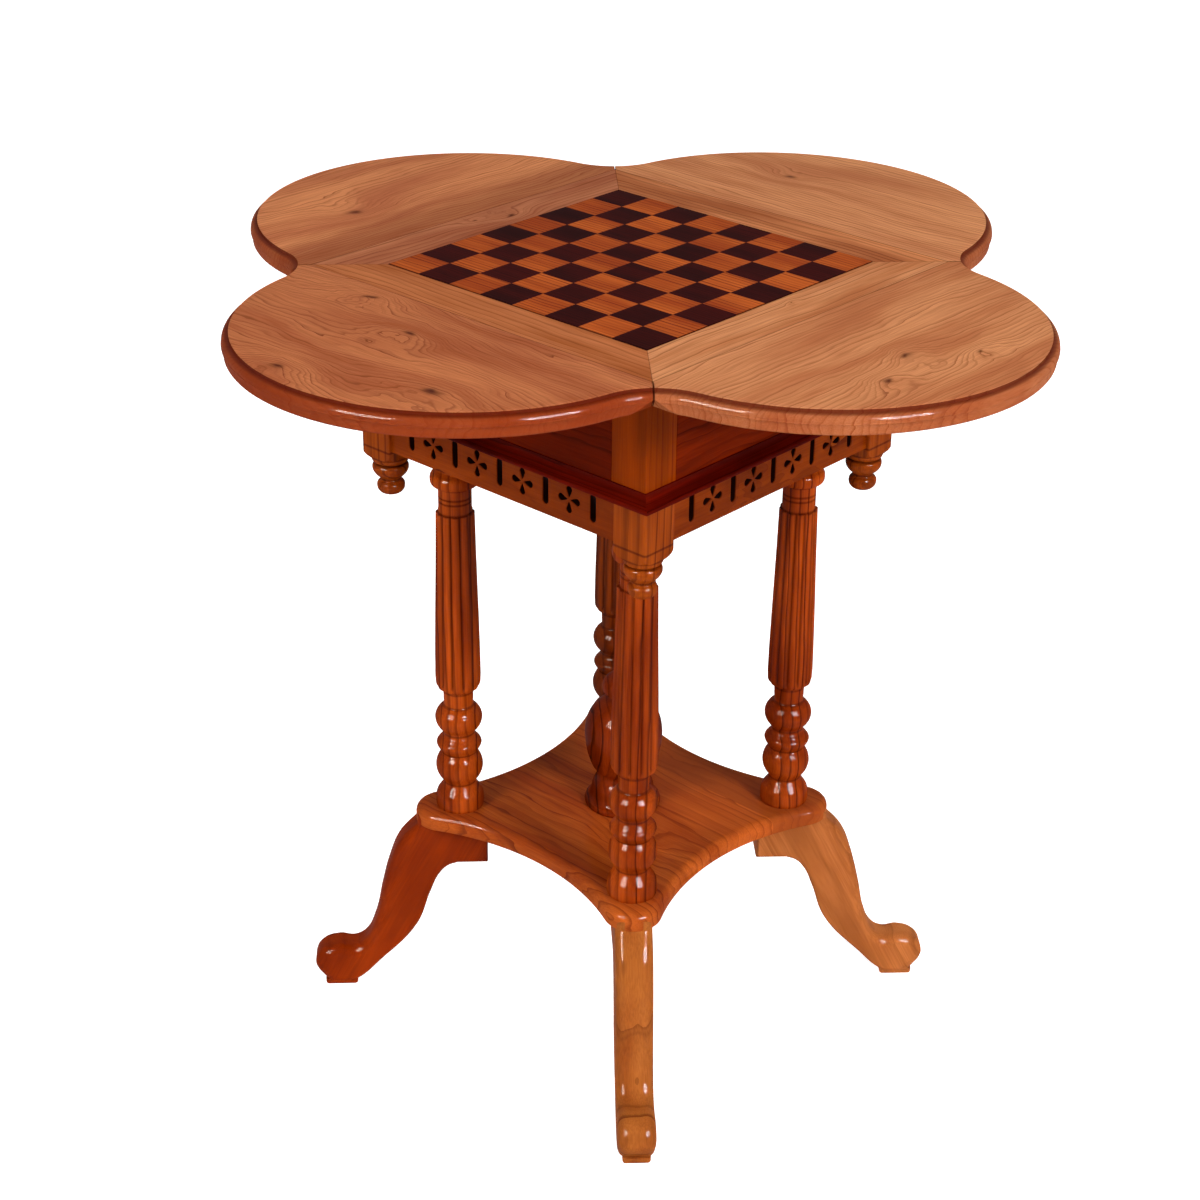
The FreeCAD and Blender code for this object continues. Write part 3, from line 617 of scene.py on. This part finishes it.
# ---- Bottom board and corner blocks ----
# The bottom board takes the columns' upper tenons. At its corners stand square blocks with an eased outer
# arris; below a shoulder each block is turned into a pendant with a collar, a bulb and a button.

bottom_wood = teak("bottom_wood", (120, 56, 20), (92, 38, 10), (56, 20, 4), shift=(70, 0, 0))
finish_with(nodes["bottom_board"], bottom_wood)

block_low, block_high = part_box("corner_block_back_right")
block_side = (block_high.x - block_low.x) / mm
block_centre = (block_high.x + block_low.x) / 2 / mm
block_head = block_high.z / mm
block_rounding = 3.0          # of the outer arris
block_easing = 0.8            # of the three others
spare = 1.0                   # the block is this much longer at each end until the turning is cut from it
pendant_grooves = (-39.8, -50.4, -57, -73)
pendant_profile = [(0, -88.0, SHARP), (7, -87.6), (11.4, -84.6), (12.8, -80.4), (12.2, -77),
                   (10.4, -75, SHARP), (9.4, -74.6), (9.8, -71.6, SHARP), (11.4, -70.6), (15.2, -66.4),
                   (16.6, -62.4), (15.8, -58.6), (13.6, -57.2, SHARP), (14.6, -56.4, SHARP), (16, -55.2),
                   (17.2, -53), (17.6, -50.4, SHARP), (18.6, -50.2, SHARP), (22.4, -48.4), (25, -44.6),
                   (25.6, -40, SHARP), (27.5, -39.6, SHARP), (27.5, 0, SHARP), (0, 0, SHARP)]
pendant_turning = turned(pendant_profile, block_head, (block_centre, block_centre))
settle()
block_master = cuboid((block_low + block_high) / 2,
                      (block_side, block_side, (block_high.z - block_low.z) / mm + 2 * spare), mm)


def is_upright(edge):
    return abs(edge.verts[0].co.z - edge.verts[1].co.z) > mm


edit(block_master)
ease(block_rounding, 5, lambda e: min(middle(e).x, middle(e).y) > block_high.x - mm)
ease(block_easing, 2, lambda e: is_upright(e) and min(middle(e).x, middle(e).y) < block_low.x + mm)
settle()


def cut_with(piece, other, operation="DIFFERENCE"):
    """Takes another piece out of a piece, or keeps only what both fill. The other piece is used up."""
    cut = piece.modifiers.new("cut", "BOOLEAN")
    cut.operation = operation
    cut.object = other
    bpy.context.view_layer.objects.active = piece
    bpy.ops.object.modifier_apply(modifier=cut.name)
    bpy.data.objects.remove(other)


cut_with(block_master, pendant_turning, "INTERSECT")
edit(block_master)
settle(crease=30)
for corner, angle in CORNERS.items():
    block = copy_round(block_master, "turned_block_" + corner, angle)
    wood = teak("pendant_wood_" + corner, (152, 65, 10), (120, 44, 4), (70, 22, 2), turns=((0, 0, -angle),),
                pith=(230, 110), shift=(9 * angle / 90, 70 * angle / 90, 0), spacing=7, waviness=12,
                gloss=0.06)
    # painted shade in the pendant's grooves
    dark_grooves(wood, block_head, pendant_grooves, 0.6)
    finish_with(block, wood)
    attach(block, "base")
    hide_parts("corner_block_" + corner)
bpy.data.objects.remove(block_master)


# ---- Friezes ----
# Four thin boards between the corner blocks, pierced with upright bars and, between them, with flowers of
# four drop-shaped petals. The walls inside the piercings are darkened with painted shade.

motif_pitch = 54.4
bars_per_side = 5
bar_width = 7.0
bar_height = 25.5
flower_span = 25.0
petal_width = 6.6
motif_drop = 17.2             # top of the frieze to the middle of the motifs
frieze_low, frieze_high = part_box("frieze_right")
frieze_face = frieze_high.x / mm
frieze_thickness = (frieze_high.x - frieze_low.x) / mm
motif_middle = frieze_high.z / mm - motif_drop


def on_frieze(across, up):
    return frieze_face - frieze_thickness / 2, across, up


def motif(points, middle_y, turn):
    """One piercing as a bar through the frieze, turned about the middle of its motif."""
    cosine = math.cos(math.radians(turn))
    sine = math.sin(math.radians(turn))
    placed = [(middle_y + across * cosine - up * sine, motif_middle + across * sine + up * cosine, *sharp)
              for across, up, *sharp in points]
    piece = sawn(placed, 2 * frieze_thickness, on_frieze, (1, 0, 0), fineness=5)
    bpy.ops.object.mode_set(mode="OBJECT")
    return piece


half_bar = bar_width / 2
bar_top = bar_height / 2
bar_points = [(0, -bar_top, SHARP), (0.7 * half_bar, 1.4 - bar_top), (half_bar, 3.4 - bar_top, SHARP),
              (half_bar, bar_top - 2.2, SHARP), (0.75 * half_bar, bar_top - 0.6), (0, bar_top),
              (-0.75 * half_bar, bar_top - 0.6), (-half_bar, bar_top - 2.2, SHARP),
              (-half_bar, 3.4 - bar_top, SHARP), (-0.7 * half_bar, 1.4 - bar_top)]
half_petal = petal_width / 2
petal_end = flower_span / 2
petal_points = [(1.3, 0, SHARP), (petal_end - 5.5, half_petal * 0.8), (petal_end - 2.6, half_petal),
                (petal_end, 0), (petal_end - 2.6, -half_petal), (petal_end - 5.5, -half_petal * 0.8)]
first_bar = -motif_pitch * (bars_per_side - 1) / 2
piercings = [motif(bar_points, first_bar + n * motif_pitch, 0) for n in range(bars_per_side)]
for n in range(bars_per_side - 1):
    flower_middle = first_bar + (n + 0.5) * motif_pitch
    piercings += [motif(petal_points, flower_middle, turn) for turn in (0, 90, 180, 270)]
piercings = joined(piercings)
frieze_master = cuboid((frieze_low + frieze_high) / 2, frieze_high - frieze_low)
cut_with(frieze_master, piercings)
edit(frieze_master)
settle(crease=30)
shade_start = 0.3             # depth behind either face where the painted shade in the piercings begins
shade_full = 1.5
for side, angle in SIDES.items():
    frieze = copy_round(frieze_master, "pierced_frieze_" + side, angle)
    wood = teak("frieze_wood_" + side, (139, 55, 5), (112, 39, 2), (73, 21, 1), turns=((0, 0, -angle),),
                shift=(40 + angle, 0, 0), spacing=5, waviness=26)
    tree = wood.node_tree
    depth = sums(tree, "SUBTRACT", frieze_face, place_along(tree, "X", angle))
    behind_face = spread(tree, depth, shade_start, shade_full)
    before_back = spread(tree, depth, frieze_thickness - shade_start, frieze_thickness - shade_full)
    # painted shade on the walls inside the piercings
    stained(wood, sums(tree, "MULTIPLY", behind_face, before_back), (34, 10, 6))
    finish_with(frieze, wood)
    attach(frieze, "base")
    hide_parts("frieze_" + side)
bpy.data.objects.remove(frieze_master)


# ---- Cove frame ----
# The box stands on a mitred frame with a deep hollow, a quirk and a round bead. Its dark red tone is partly a
# darker stain and partly painted shade from the leaves above it. The corner blocks and friezes hang under it.

cove_low, cove_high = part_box("cove_rail_right")
bead_face = cove_high.x / mm
rail_foot = cove_low.z / mm
rail_top = cove_high.z / mm
bead_height = 4.4
box_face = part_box("corner_post_back_right")[1].x / mm
rail_seat = cove_low.x / mm
bead_middle = rail_foot + bead_height / 2
bead_start = bead_face - bead_height / 2
quirk = bead_start - 1.8
rail_section = [(rail_seat, rail_foot, SHARP), (bead_start, rail_foot, SHARP),
                (bead_face - 0.6, rail_foot + 0.7), (bead_face, bead_middle),
                (bead_face - 0.6, rail_foot + bead_height - 0.7),
                (bead_start, rail_foot + bead_height, SHARP), (quirk, rail_foot + bead_height - 0.6, SHARP),
                (quirk - 2, rail_foot + bead_height, SHARP), (box_face + 6, rail_foot + bead_height + 1.0),
                (box_face + 2.6, rail_foot + bead_height + 3.6), (box_face + 1.5, rail_top - 0.8, SHARP),
                (box_face + 1.5, rail_top, SHARP), (rail_seat, rail_top, SHARP)]


def saw_off(place, direction):
    """Takes off all that lies beyond a plane and closes the cut, on the piece in edit mode."""
    bpy.ops.mesh.select_all(action="SELECT")
    bpy.ops.mesh.bisect(plane_co=place, plane_no=direction, use_fill=True, clear_outer=True)


rail_master = sawn(rail_section, 2 * bead_face)
for side in (-1, 1):
    saw_off((0, 0, 0), (-1, side, 0))
settle(crease=30)
# dark tones of the frame: partly a darker stain, partly painted shade from the leaves above
for side, angle in SIDES.items():
    rail = copy_round(rail_master, "moulded_rail_" + side, angle)
    finish_with(rail, teak("cove_wood_" + side, (100, 15, 3), (66, 5, 1), (36, 2, 1), turns=((0, 0, -angle),),
                           shift=(60 + angle, 0, 0), spacing=4, waviness=12, gloss=0.03))
    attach(rail, "base")
    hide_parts("cove_rail_" + side)
bpy.data.objects.remove(rail_master)


# ---- Box ----
# Deep box under the top: four square corner posts with side boards between them, glued and pegged. The
# posts' grain is upright and the side boards' grain runs along them.

post_easing = 0.9
post_tones = {"back_right": (177, 65, 2), "back_left": (171, 62, 2), "front_left": (162, 62, 2),
              "front_right": (176, 66, 2)}
for corner, angle in CORNERS.items():
    low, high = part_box("corner_post_" + corner)
    post = cuboid((low + high) / 2, high - low)
    post.name = "planed_post_" + corner
    edit(post)
    ease(post_easing, 3, is_upright)
    settle()
    shade = post_tones[corner]
    finish_with(post, teak("post_wood_" + corner, shade, tuple(0.8 * part for part in shade), (96, 26, 3),
                           turns=((0, 0, -angle), (-90, 0, 0)), shift=(angle, 0, 0), spacing=7, waviness=20,
                           gloss=0.03))
    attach(post, "base")
    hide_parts("corner_post_" + corner)
for side, angle in SIDES.items():
    knots = ((690, 20, 14, 40),) if side == "left" else ()
    wood = teak("box_wood_" + side, (140, 38, 2), (102, 23, 1), (58, 10, 1),
                turns=((0, 0, -angle), (0, 90, 0)), shift=(30 * angle / 90, 0, 0), spacing=9, waviness=60,
                knots=knots, gloss=0.02)
    finish_with(nodes["box_side_" + side], wood)


# ---- Lopers and keepers ----
# Under each leaf a hardwood bar pulls out of the box to carry it. It runs in a notch in the box's side and
# through a stirrup screwed under the board.

bare_tones = ((150, 92, 48), (124, 70, 34), (84, 44, 20))
for side, angle in SIDES.items():
    finish_with(nodes["loper_" + side], teak("loper_wood_" + side, *bare_tones, turns=((0, 0, 90 - angle),),
                                             shift=(angle, 0, 0), gloss=0.02))
finish_with(nodes["keepers"], teak("keeper_wood", *bare_tones, gloss=0.02))


# ---- Board ----
# Playing board: thirty-two dark and thirty-two light squares of veneer-faced teak, each cut with its grain
# running across the table, glued edge to edge on a core whose edges sit in the border's rebate.

square_side = 37.5
board_half = 4 * square_side
finish_with(nodes["board_core"], teak("core_wood", (130, 70, 32), (104, 52, 22), (70, 30, 10), gloss=0.02))


def cut_squares(tree):
    """The plank's coordinates, moved by a different amount in each square of the board."""
    place = add(tree, "TexCoord").outputs["Object"]
    per_square = 1 / (square_side * mm)
    cell = vectors(tree, "FLOOR", vectors(tree, "MULTIPLY", place, (per_square, per_square, 0)))
    return vectors(tree, "ADD", place, add(tree, "TexWhiteNoise", {"Vector": cell}).outputs["Color"])


def seam_mask(tree):
    """One in a hairline round each square."""
    away = [sums(tree, "PINGPONG", place_along(tree, axis), square_side) for axis in "XY"]
    edges = [sums(tree, "MINIMUM", a, sums(tree, "SUBTRACT", square_side, a)) for a in away]
    return spread(tree, sums(tree, "MINIMUM", *edges), 0.5, 0.1)


dark_wood = teak("dark_square_wood", (62, 5, 1), (42, 2, 1), (21, 1, 1), plank=cut_squares, spacing=4,
                 waviness=20, gloss=0.04)
light_wood = teak("light_square_wood", (204, 98, 34), (160, 64, 16), (80, 20, 4), plank=cut_squares,
                  spacing=5, waviness=14, rings=1.0)
for wood, squares in ((dark_wood, "dark_squares"), (light_wood, "light_squares")):
    stained(wood, seam_mask(wood.node_tree), (30, 8, 4), 0.7)
    finish_with(nodes[squares], wood)


# ---- Border ----
# Four broad boards mitred round the playing board. The joints show as hairlines.

border_looks = {
    "right": dict(pale=(217, 136, 83), deep=(166, 90, 48), line=(100, 50, 27)),
    "back": dict(pale=(190, 116, 77), deep=(155, 81, 49), line=(99, 46, 25),
                 knots=((170, -20, 16, 24), (182, 12, 10, 14))),
    "left": dict(pale=(195, 115, 67), deep=(162, 85, 40), line=(114, 55, 24)),
    "front": dict(pale=(219, 147, 96), deep=(185, 109, 63), line=(121, 65, 37), knots=((164, 18, 4, 8),))}


def joint_masks(tree, mitre_width, rim, rim_width):
    """Two masks that are one in the joints: along the mitres, and just outside a square round the board.

    A width is a pair: how far from the joint its mask has faded out, and up to where it is full.
    """
    x, y = (sums(tree, "ABSOLUTE", place_along(tree, axis)) for axis in "XY")
    mitre = spread(tree, sums(tree, "ABSOLUTE", sums(tree, "SUBTRACT", x, y)), *mitre_width)
    return mitre, spread(tree, sums(tree, "MAXIMUM", x, y), rim + rim_width[0], rim + rim_width[1])


for side, angle in SIDES.items():
    wood = teak("border_wood_" + side, turns=((0, 0, -angle),), shift=(31 * angle / 90, 7, 0), spacing=7,
                waviness=30, **border_looks[side])
    tree = wood.node_tree
    mitre, rim = joint_masks(tree, (0.7, 0.1), board_half, (1.2, 0.5))
    stained(wood, sums(tree, "MAXIMUM", sums(tree, "MULTIPLY", mitre, 0.6), rim), (50, 16, 8))
    finish_with(nodes["border_" + side], wood)


# ---- Hinges ----
# Two brass hinges to each leaf, their plates screwed under the border and the leaf with slotted screws.

brass, tree, surface = surface_of("brass")
grain = {"Vector": add(tree, "TexCoord").outputs["Object"], "Scale": 300.0, "Detail": 4.0}
rub = add(tree, "TexNoise", grain).outputs["Fac"]
tree.links.new(mixed(tree, rub, tone(190, 150, 80), tone(140, 100, 44)), surface["Base Color"])
tree.links.new(sums(tree, "ADD", sums(tree, "MULTIPLY", rub, 0.3), 0.2), surface["Roughness"])
surface["Metallic"].default_value = 1.0

plate_thickness = 2.2
plate_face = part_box("leaf_hinge_plates_right")[1].z / mm - plate_thickness
hinge_middle = 127.0          # along the leaf, to either side of its middle
screw_radius = 3.0
screw_head = 1.0
head_rise = 0.2               # the middle of the head lies this far inside the plate's face
head_easing = 0.25
slot_width = 0.8
slot_length = 8.0
slot_rise = -0.3              # the middle of the slot lies this far outside it
screw_places = {"leaf": ((215, -14), (225, 0), (215, 14)), "fixed": ((188, -14), (181, 0), (188, 14))}


def screw(x, y):
    """Slotted screw head, seen from below the plate."""
    bpy.ops.mesh.primitive_cylinder_add(vertices=24, radius=screw_radius * mm, depth=screw_head * mm,
                                        location=(x * mm, y * mm, (plate_face + head_rise) * mm))
    bpy.ops.object.transform_apply()
    head = bpy.context.object
    edit(head)
    ease(head_easing, 2, lambda e: all(v.co.z < plate_face * mm for v in e.verts))
    settle()
    slot_middle = (x * mm, y * mm, (plate_face + slot_rise) * mm)
    cut_with(head, cuboid(slot_middle, (slot_width, slot_length, slot_width), mm))
    return head


for name, places in screw_places.items():
    screws = joined([screw(x, sign * hinge_middle + y) for sign in (-1, 1) for x, y in places])
    for side, angle in SIDES.items():
        set_of_six = copy_round(screws, f"{name}_hinge_screws_{side}", angle)
        finish_with(set_of_six, brass)
        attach(set_of_six, "leaf_" + side if name == "leaf" else "base")
    bpy.data.objects.remove(screws)
finish_with(nodes["fixed_hinge_plates"], brass)
for side in SIDES:
    finish_with(nodes["leaf_hinge_plates_" + side], brass)


# ---- Leaves ----
# Four drop leaves of wide teak board, each a great lobe with an ear at either end that meets its neighbour's
# in a mitre. The edge is moulded: a small step, a round, and an undercut fillet below.

leaf_low, leaf_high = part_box("leaf_right")
leaf_top = leaf_high.z / mm
leaf_foot = leaf_low.z / mm
hinge_line = leaf_low.x / mm
lobe_centre = 205.4
lobe_radius = 192.5           # of the sharp top edge; the moulding stands 6.5 mm further out
ear_tip = 206.0
ear_radius = ((ear_tip ** 2 + (ear_tip - lobe_centre) ** 2 - lobe_radius ** 2)
              / (2 * lobe_radius - math.sqrt(2) * (2 * ear_tip - lobe_centre)))
ear_centre = ear_tip + ear_radius / math.sqrt(2)
ear_sweep = math.atan2(ear_centre, ear_centre - lobe_centre) - math.pi / 4
mitre_gap = 0.45              # half the gap between two leaves
relief_start = 193.0          # the bevel under each ear starts here, at the height of the hinge pins
relief_height = leaf_foot - 5.0
dark_strip = (270, 210)       # across the back leaf, from where its darker wood begins to where it is full
root = (hinge_line - ear_tip) * math.sqrt(2)
edge_section = [(root, 0, SHARP), (-0.3, 0, SHARP), (0, -0.3, SHARP), (0.3, -3.0, SHARP),
                (1.2, -3.4, SHARP), (4.2, -4.4), (6.0, -7.2), (6.1, -9.8, SHARP), (6.5, -10.2, SHARP),
                (6.4, -10.9, SHARP), (5.2, -11.6, SHARP), (4.6, -14.5), (4.8, -18.8, SHARP),
                (4.0, -(leaf_top - leaf_foot), SHARP), (root, -(leaf_top - leaf_foot), SHARP)]


def at_ear(outward, up):
    """Place of the edge's section at the front ear, in the plane of the mitre."""
    beyond = (ear_radius - outward) / math.sqrt(2)
    return ear_centre - beyond, beyond - ear_centre, leaf_top + up


def at_hinge(vert):
    return abs(vert.co.x / mm - hinge_line) < 0.02


def on_rim(edge, height):
    """Whether an edge bounds the leaf's top or bottom, without the ends of the sweep at the mitres."""
    if not level_with(edge, height * mm):
        return False
    at_mitre = all(abs(v.co.x - abs(v.co.y)) < 0.02 * mm for v in edge.verts)
    return all(at_hinge(v) for v in edge.verts) or (edge.is_boundary or edge.is_wire) and not at_mitre


leaf_master = drawn_line(edge_section, at_ear, closed=False, fineness=5)
edit(leaf_master)
bpy.ops.mesh.select_all(action="SELECT")
spin((ear_centre, -ear_centre), -ear_sweep, 14)
spin((lobe_centre, 0), 2 * ear_sweep + math.pi / 2, 90)
spin((ear_centre, ear_centre), -ear_sweep, 14)
weld(0.02)
for height in (leaf_top, leaf_foot):
    pick("VERT", lambda v: abs(v.co.z / mm - height) < 0.01 and at_hinge(v))
    bpy.ops.mesh.edge_face_add()
    pick("EDGE", lambda e: on_rim(e, height))
    bpy.ops.mesh.edge_face_add()
pick("VERT", at_hinge)
bpy.ops.mesh.edge_face_add()
face_outwards()
for side in (-1, 1):
    saw_off((mitre_gap * math.sqrt(2) * mm, 0, 0), (-1, side, 0))
    saw_off((0, side * relief_start * mm, relief_height * mm), (0, side, -1))
settle(crease=30)
leaf_looks = {
    "right": dict(pale=(222, 149, 97), deep=(190, 116, 73), line=(132, 72, 44), waviness=40,
                  knots=((300, 60, 20, 20),)),
    "back": dict(pale=(220, 140, 88), deep=(186, 106, 66), line=(124, 60, 36), waviness=50,
                 knots=((281, 71, 30, 30),)),
    "left": dict(pale=(198, 118, 72), deep=(166, 87, 50), line=(104, 46, 26), waviness=70,
                 knots=((219, -98, 20, 34), (256, -13, 24, 34), (376, -36, 26, 40), (330, 90, 30, 26))),
    "front": dict(pale=(214, 142, 92), deep=(184, 109, 66), line=(122, 62, 35), waviness=46,
                  knots=((309, -14, 20, 26), (329, -68, 18, 24), (343, 35, 16, 22)))}
edge_shade = {"right": 0.75, "back": 0.8, "left": 0.88, "front": 0.6}
for side, angle in SIDES.items():
    leaf = copy_round(leaf_master, "moulded_leaf_" + side, angle)
    wood = teak("leaf_wood_" + side, turns=((0, 0, -angle),), shift=(40 * angle / 90, 13, 0), spacing=5,
                **leaf_looks[side])
    tree = wood.node_tree
    # Everything below the top face is darkened by a share that changes from leaf to leaf, and the step under
    # the arris is darker still: painted shade, strongest on the left leaf, which is away from the stronger
    # lamp.
    depth = sums(tree, "SUBTRACT", leaf_top, place_along(tree, "Z"))
    edge = spread(tree, depth, 0.25, 0.6)
    hollow = sums(tree, "MULTIPLY", edge, spread(tree, depth, 4.6, 3.0))
    stained(wood, edge, (120, 40, 9), edge_shade[side])
    stained(wood, hollow, (78, 18, 5), 0.8)
    mitre, joint = joint_masks(tree, (1.6, 0.8), hinge_line, (0.9, 0.3))
    stained(wood, sums(tree, "MAXIMUM", mitre, joint), (52, 16, 8), 0.7)
    if side == "back":
        strip = spread(tree, place_along(tree, "X", angle), *dark_strip)
        stained(wood, strip, (112, 46, 18), 0.5)
    finish_with(leaf, wood)
    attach(leaf, "leaf_" + side)
    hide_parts("leaf_" + side)
bpy.data.objects.remove(leaf_master)


# ---- Floor, light and camera ----
# Plain white floor that runs past the picture, soft light from a white room, and a soft box to each side of
# the camera. A wider box in the same place only gives the lacquer its highlights.

white = (1, 1, 1, 1)
floor_size = 16.0
floor_glow = 0.85             # makes the floor white to the eye without lighting the table
room_light = 0.45             # share of the room's white that lights the table; the eye sees all of it


def is_seen(tree):
    """One for rays that the eye follows, straight or by a shine, and nought for those that only light."""
    rays = add(tree, "LightPath").outputs
    shone = sums(tree, "MAXIMUM", rays["Is Glossy Ray"], rays["Is Transmission Ray"])
    return sums(tree, "MAXIMUM", rays["Is Camera Ray"], shone)


bpy.ops.mesh.primitive_plane_add(size=floor_size)
floor = bpy.context.object
floor.name = "floor"
floor_white, tree, surface = surface_of("floor_white")
surface["Base Color"].default_value = (0.75, 0.75, 0.75, 1)
surface["Roughness"].default_value = 0.9
surface["Specular IOR Level"].default_value = 0.1
surface["Emission Color"].default_value = white
tree.links.new(sums(tree, "MULTIPLY", is_seen(tree), floor_glow), surface["Emission Strength"])
finish_with(floor, floor_white)

room = bpy.context.scene.world or bpy.data.worlds.new("room")
bpy.context.scene.world = room
room.use_nodes = True
tree = room.node_tree
background = tree.nodes["Background"].inputs
background["Color"].default_value = white
strength = sums(tree, "ADD", sums(tree, "MULTIPLY", is_seen(tree), 1 - room_light), room_light)
tree.links.new(strength, background["Strength"])


def soft_box(name, place, aim, side, power, colour):
    light = bpy.data.lights.new(name, "AREA")
    light.shape = "SQUARE"
    light.size = side
    light.energy = power
    light.color = colour
    lamp = bpy.data.objects.new(name, light)
    lamp.location = place
    lamp.rotation_mode = "QUATERNION"
    lamp.rotation_quaternion = (Vector(aim) - Vector(place)).to_track_quat("-Z", "Y")
    bpy.context.scene.collection.objects.link(lamp)
    return lamp


table_middle = (0, 0, 0.5)
box_side = 0.8
gleam_side = 1.2
lamps = (("left", (-2.75, 0.1, 1.9), 45, 1300, (1.0, 0.92, 0.82)),
         ("right", (-0.45, -2.75, 1.9), 75, 1600, (0.9, 0.93, 1.0)))
for name, place, power, gleam, colour in lamps:
    soft_box("box_" + name, place, table_middle, box_side, power, white[:3]).visible_glossy = False
    soft_box("gleam_" + name, place, table_middle, gleam_side, gleam, colour).visible_diffuse = False

azimuth = math.radians(41.958)
fall = math.radians(26.514)
roll = math.radians(0.729)
ahead = Vector((math.cos(fall) * math.cos(azimuth), math.cos(fall) * math.sin(azimuth), -math.sin(fall)))
level = Vector((math.sin(azimuth), -math.cos(azimuth), 0))
above = level.cross(ahead)
right = math.cos(roll) * level + math.sin(roll) * above
up = math.cos(roll) * above - math.sin(roll) * level
lens = bpy.data.cameras.new("camera")
lens.lens = 72.14
lens.sensor_width = 36
lens.shift_x = -0.003083
lens.shift_y = -0.0153
camera = bpy.data.objects.new("camera", lens)
camera.matrix_world = Matrix((right, up, -ahead)).transposed().to_4x4()
camera.location = (-1.5097, -1.3291, 1.4463)
bpy.context.scene.collection.objects.link(camera)
bpy.context.scene.camera = camera
bpy.context.scene.view_settings.view_transform = "Standard"
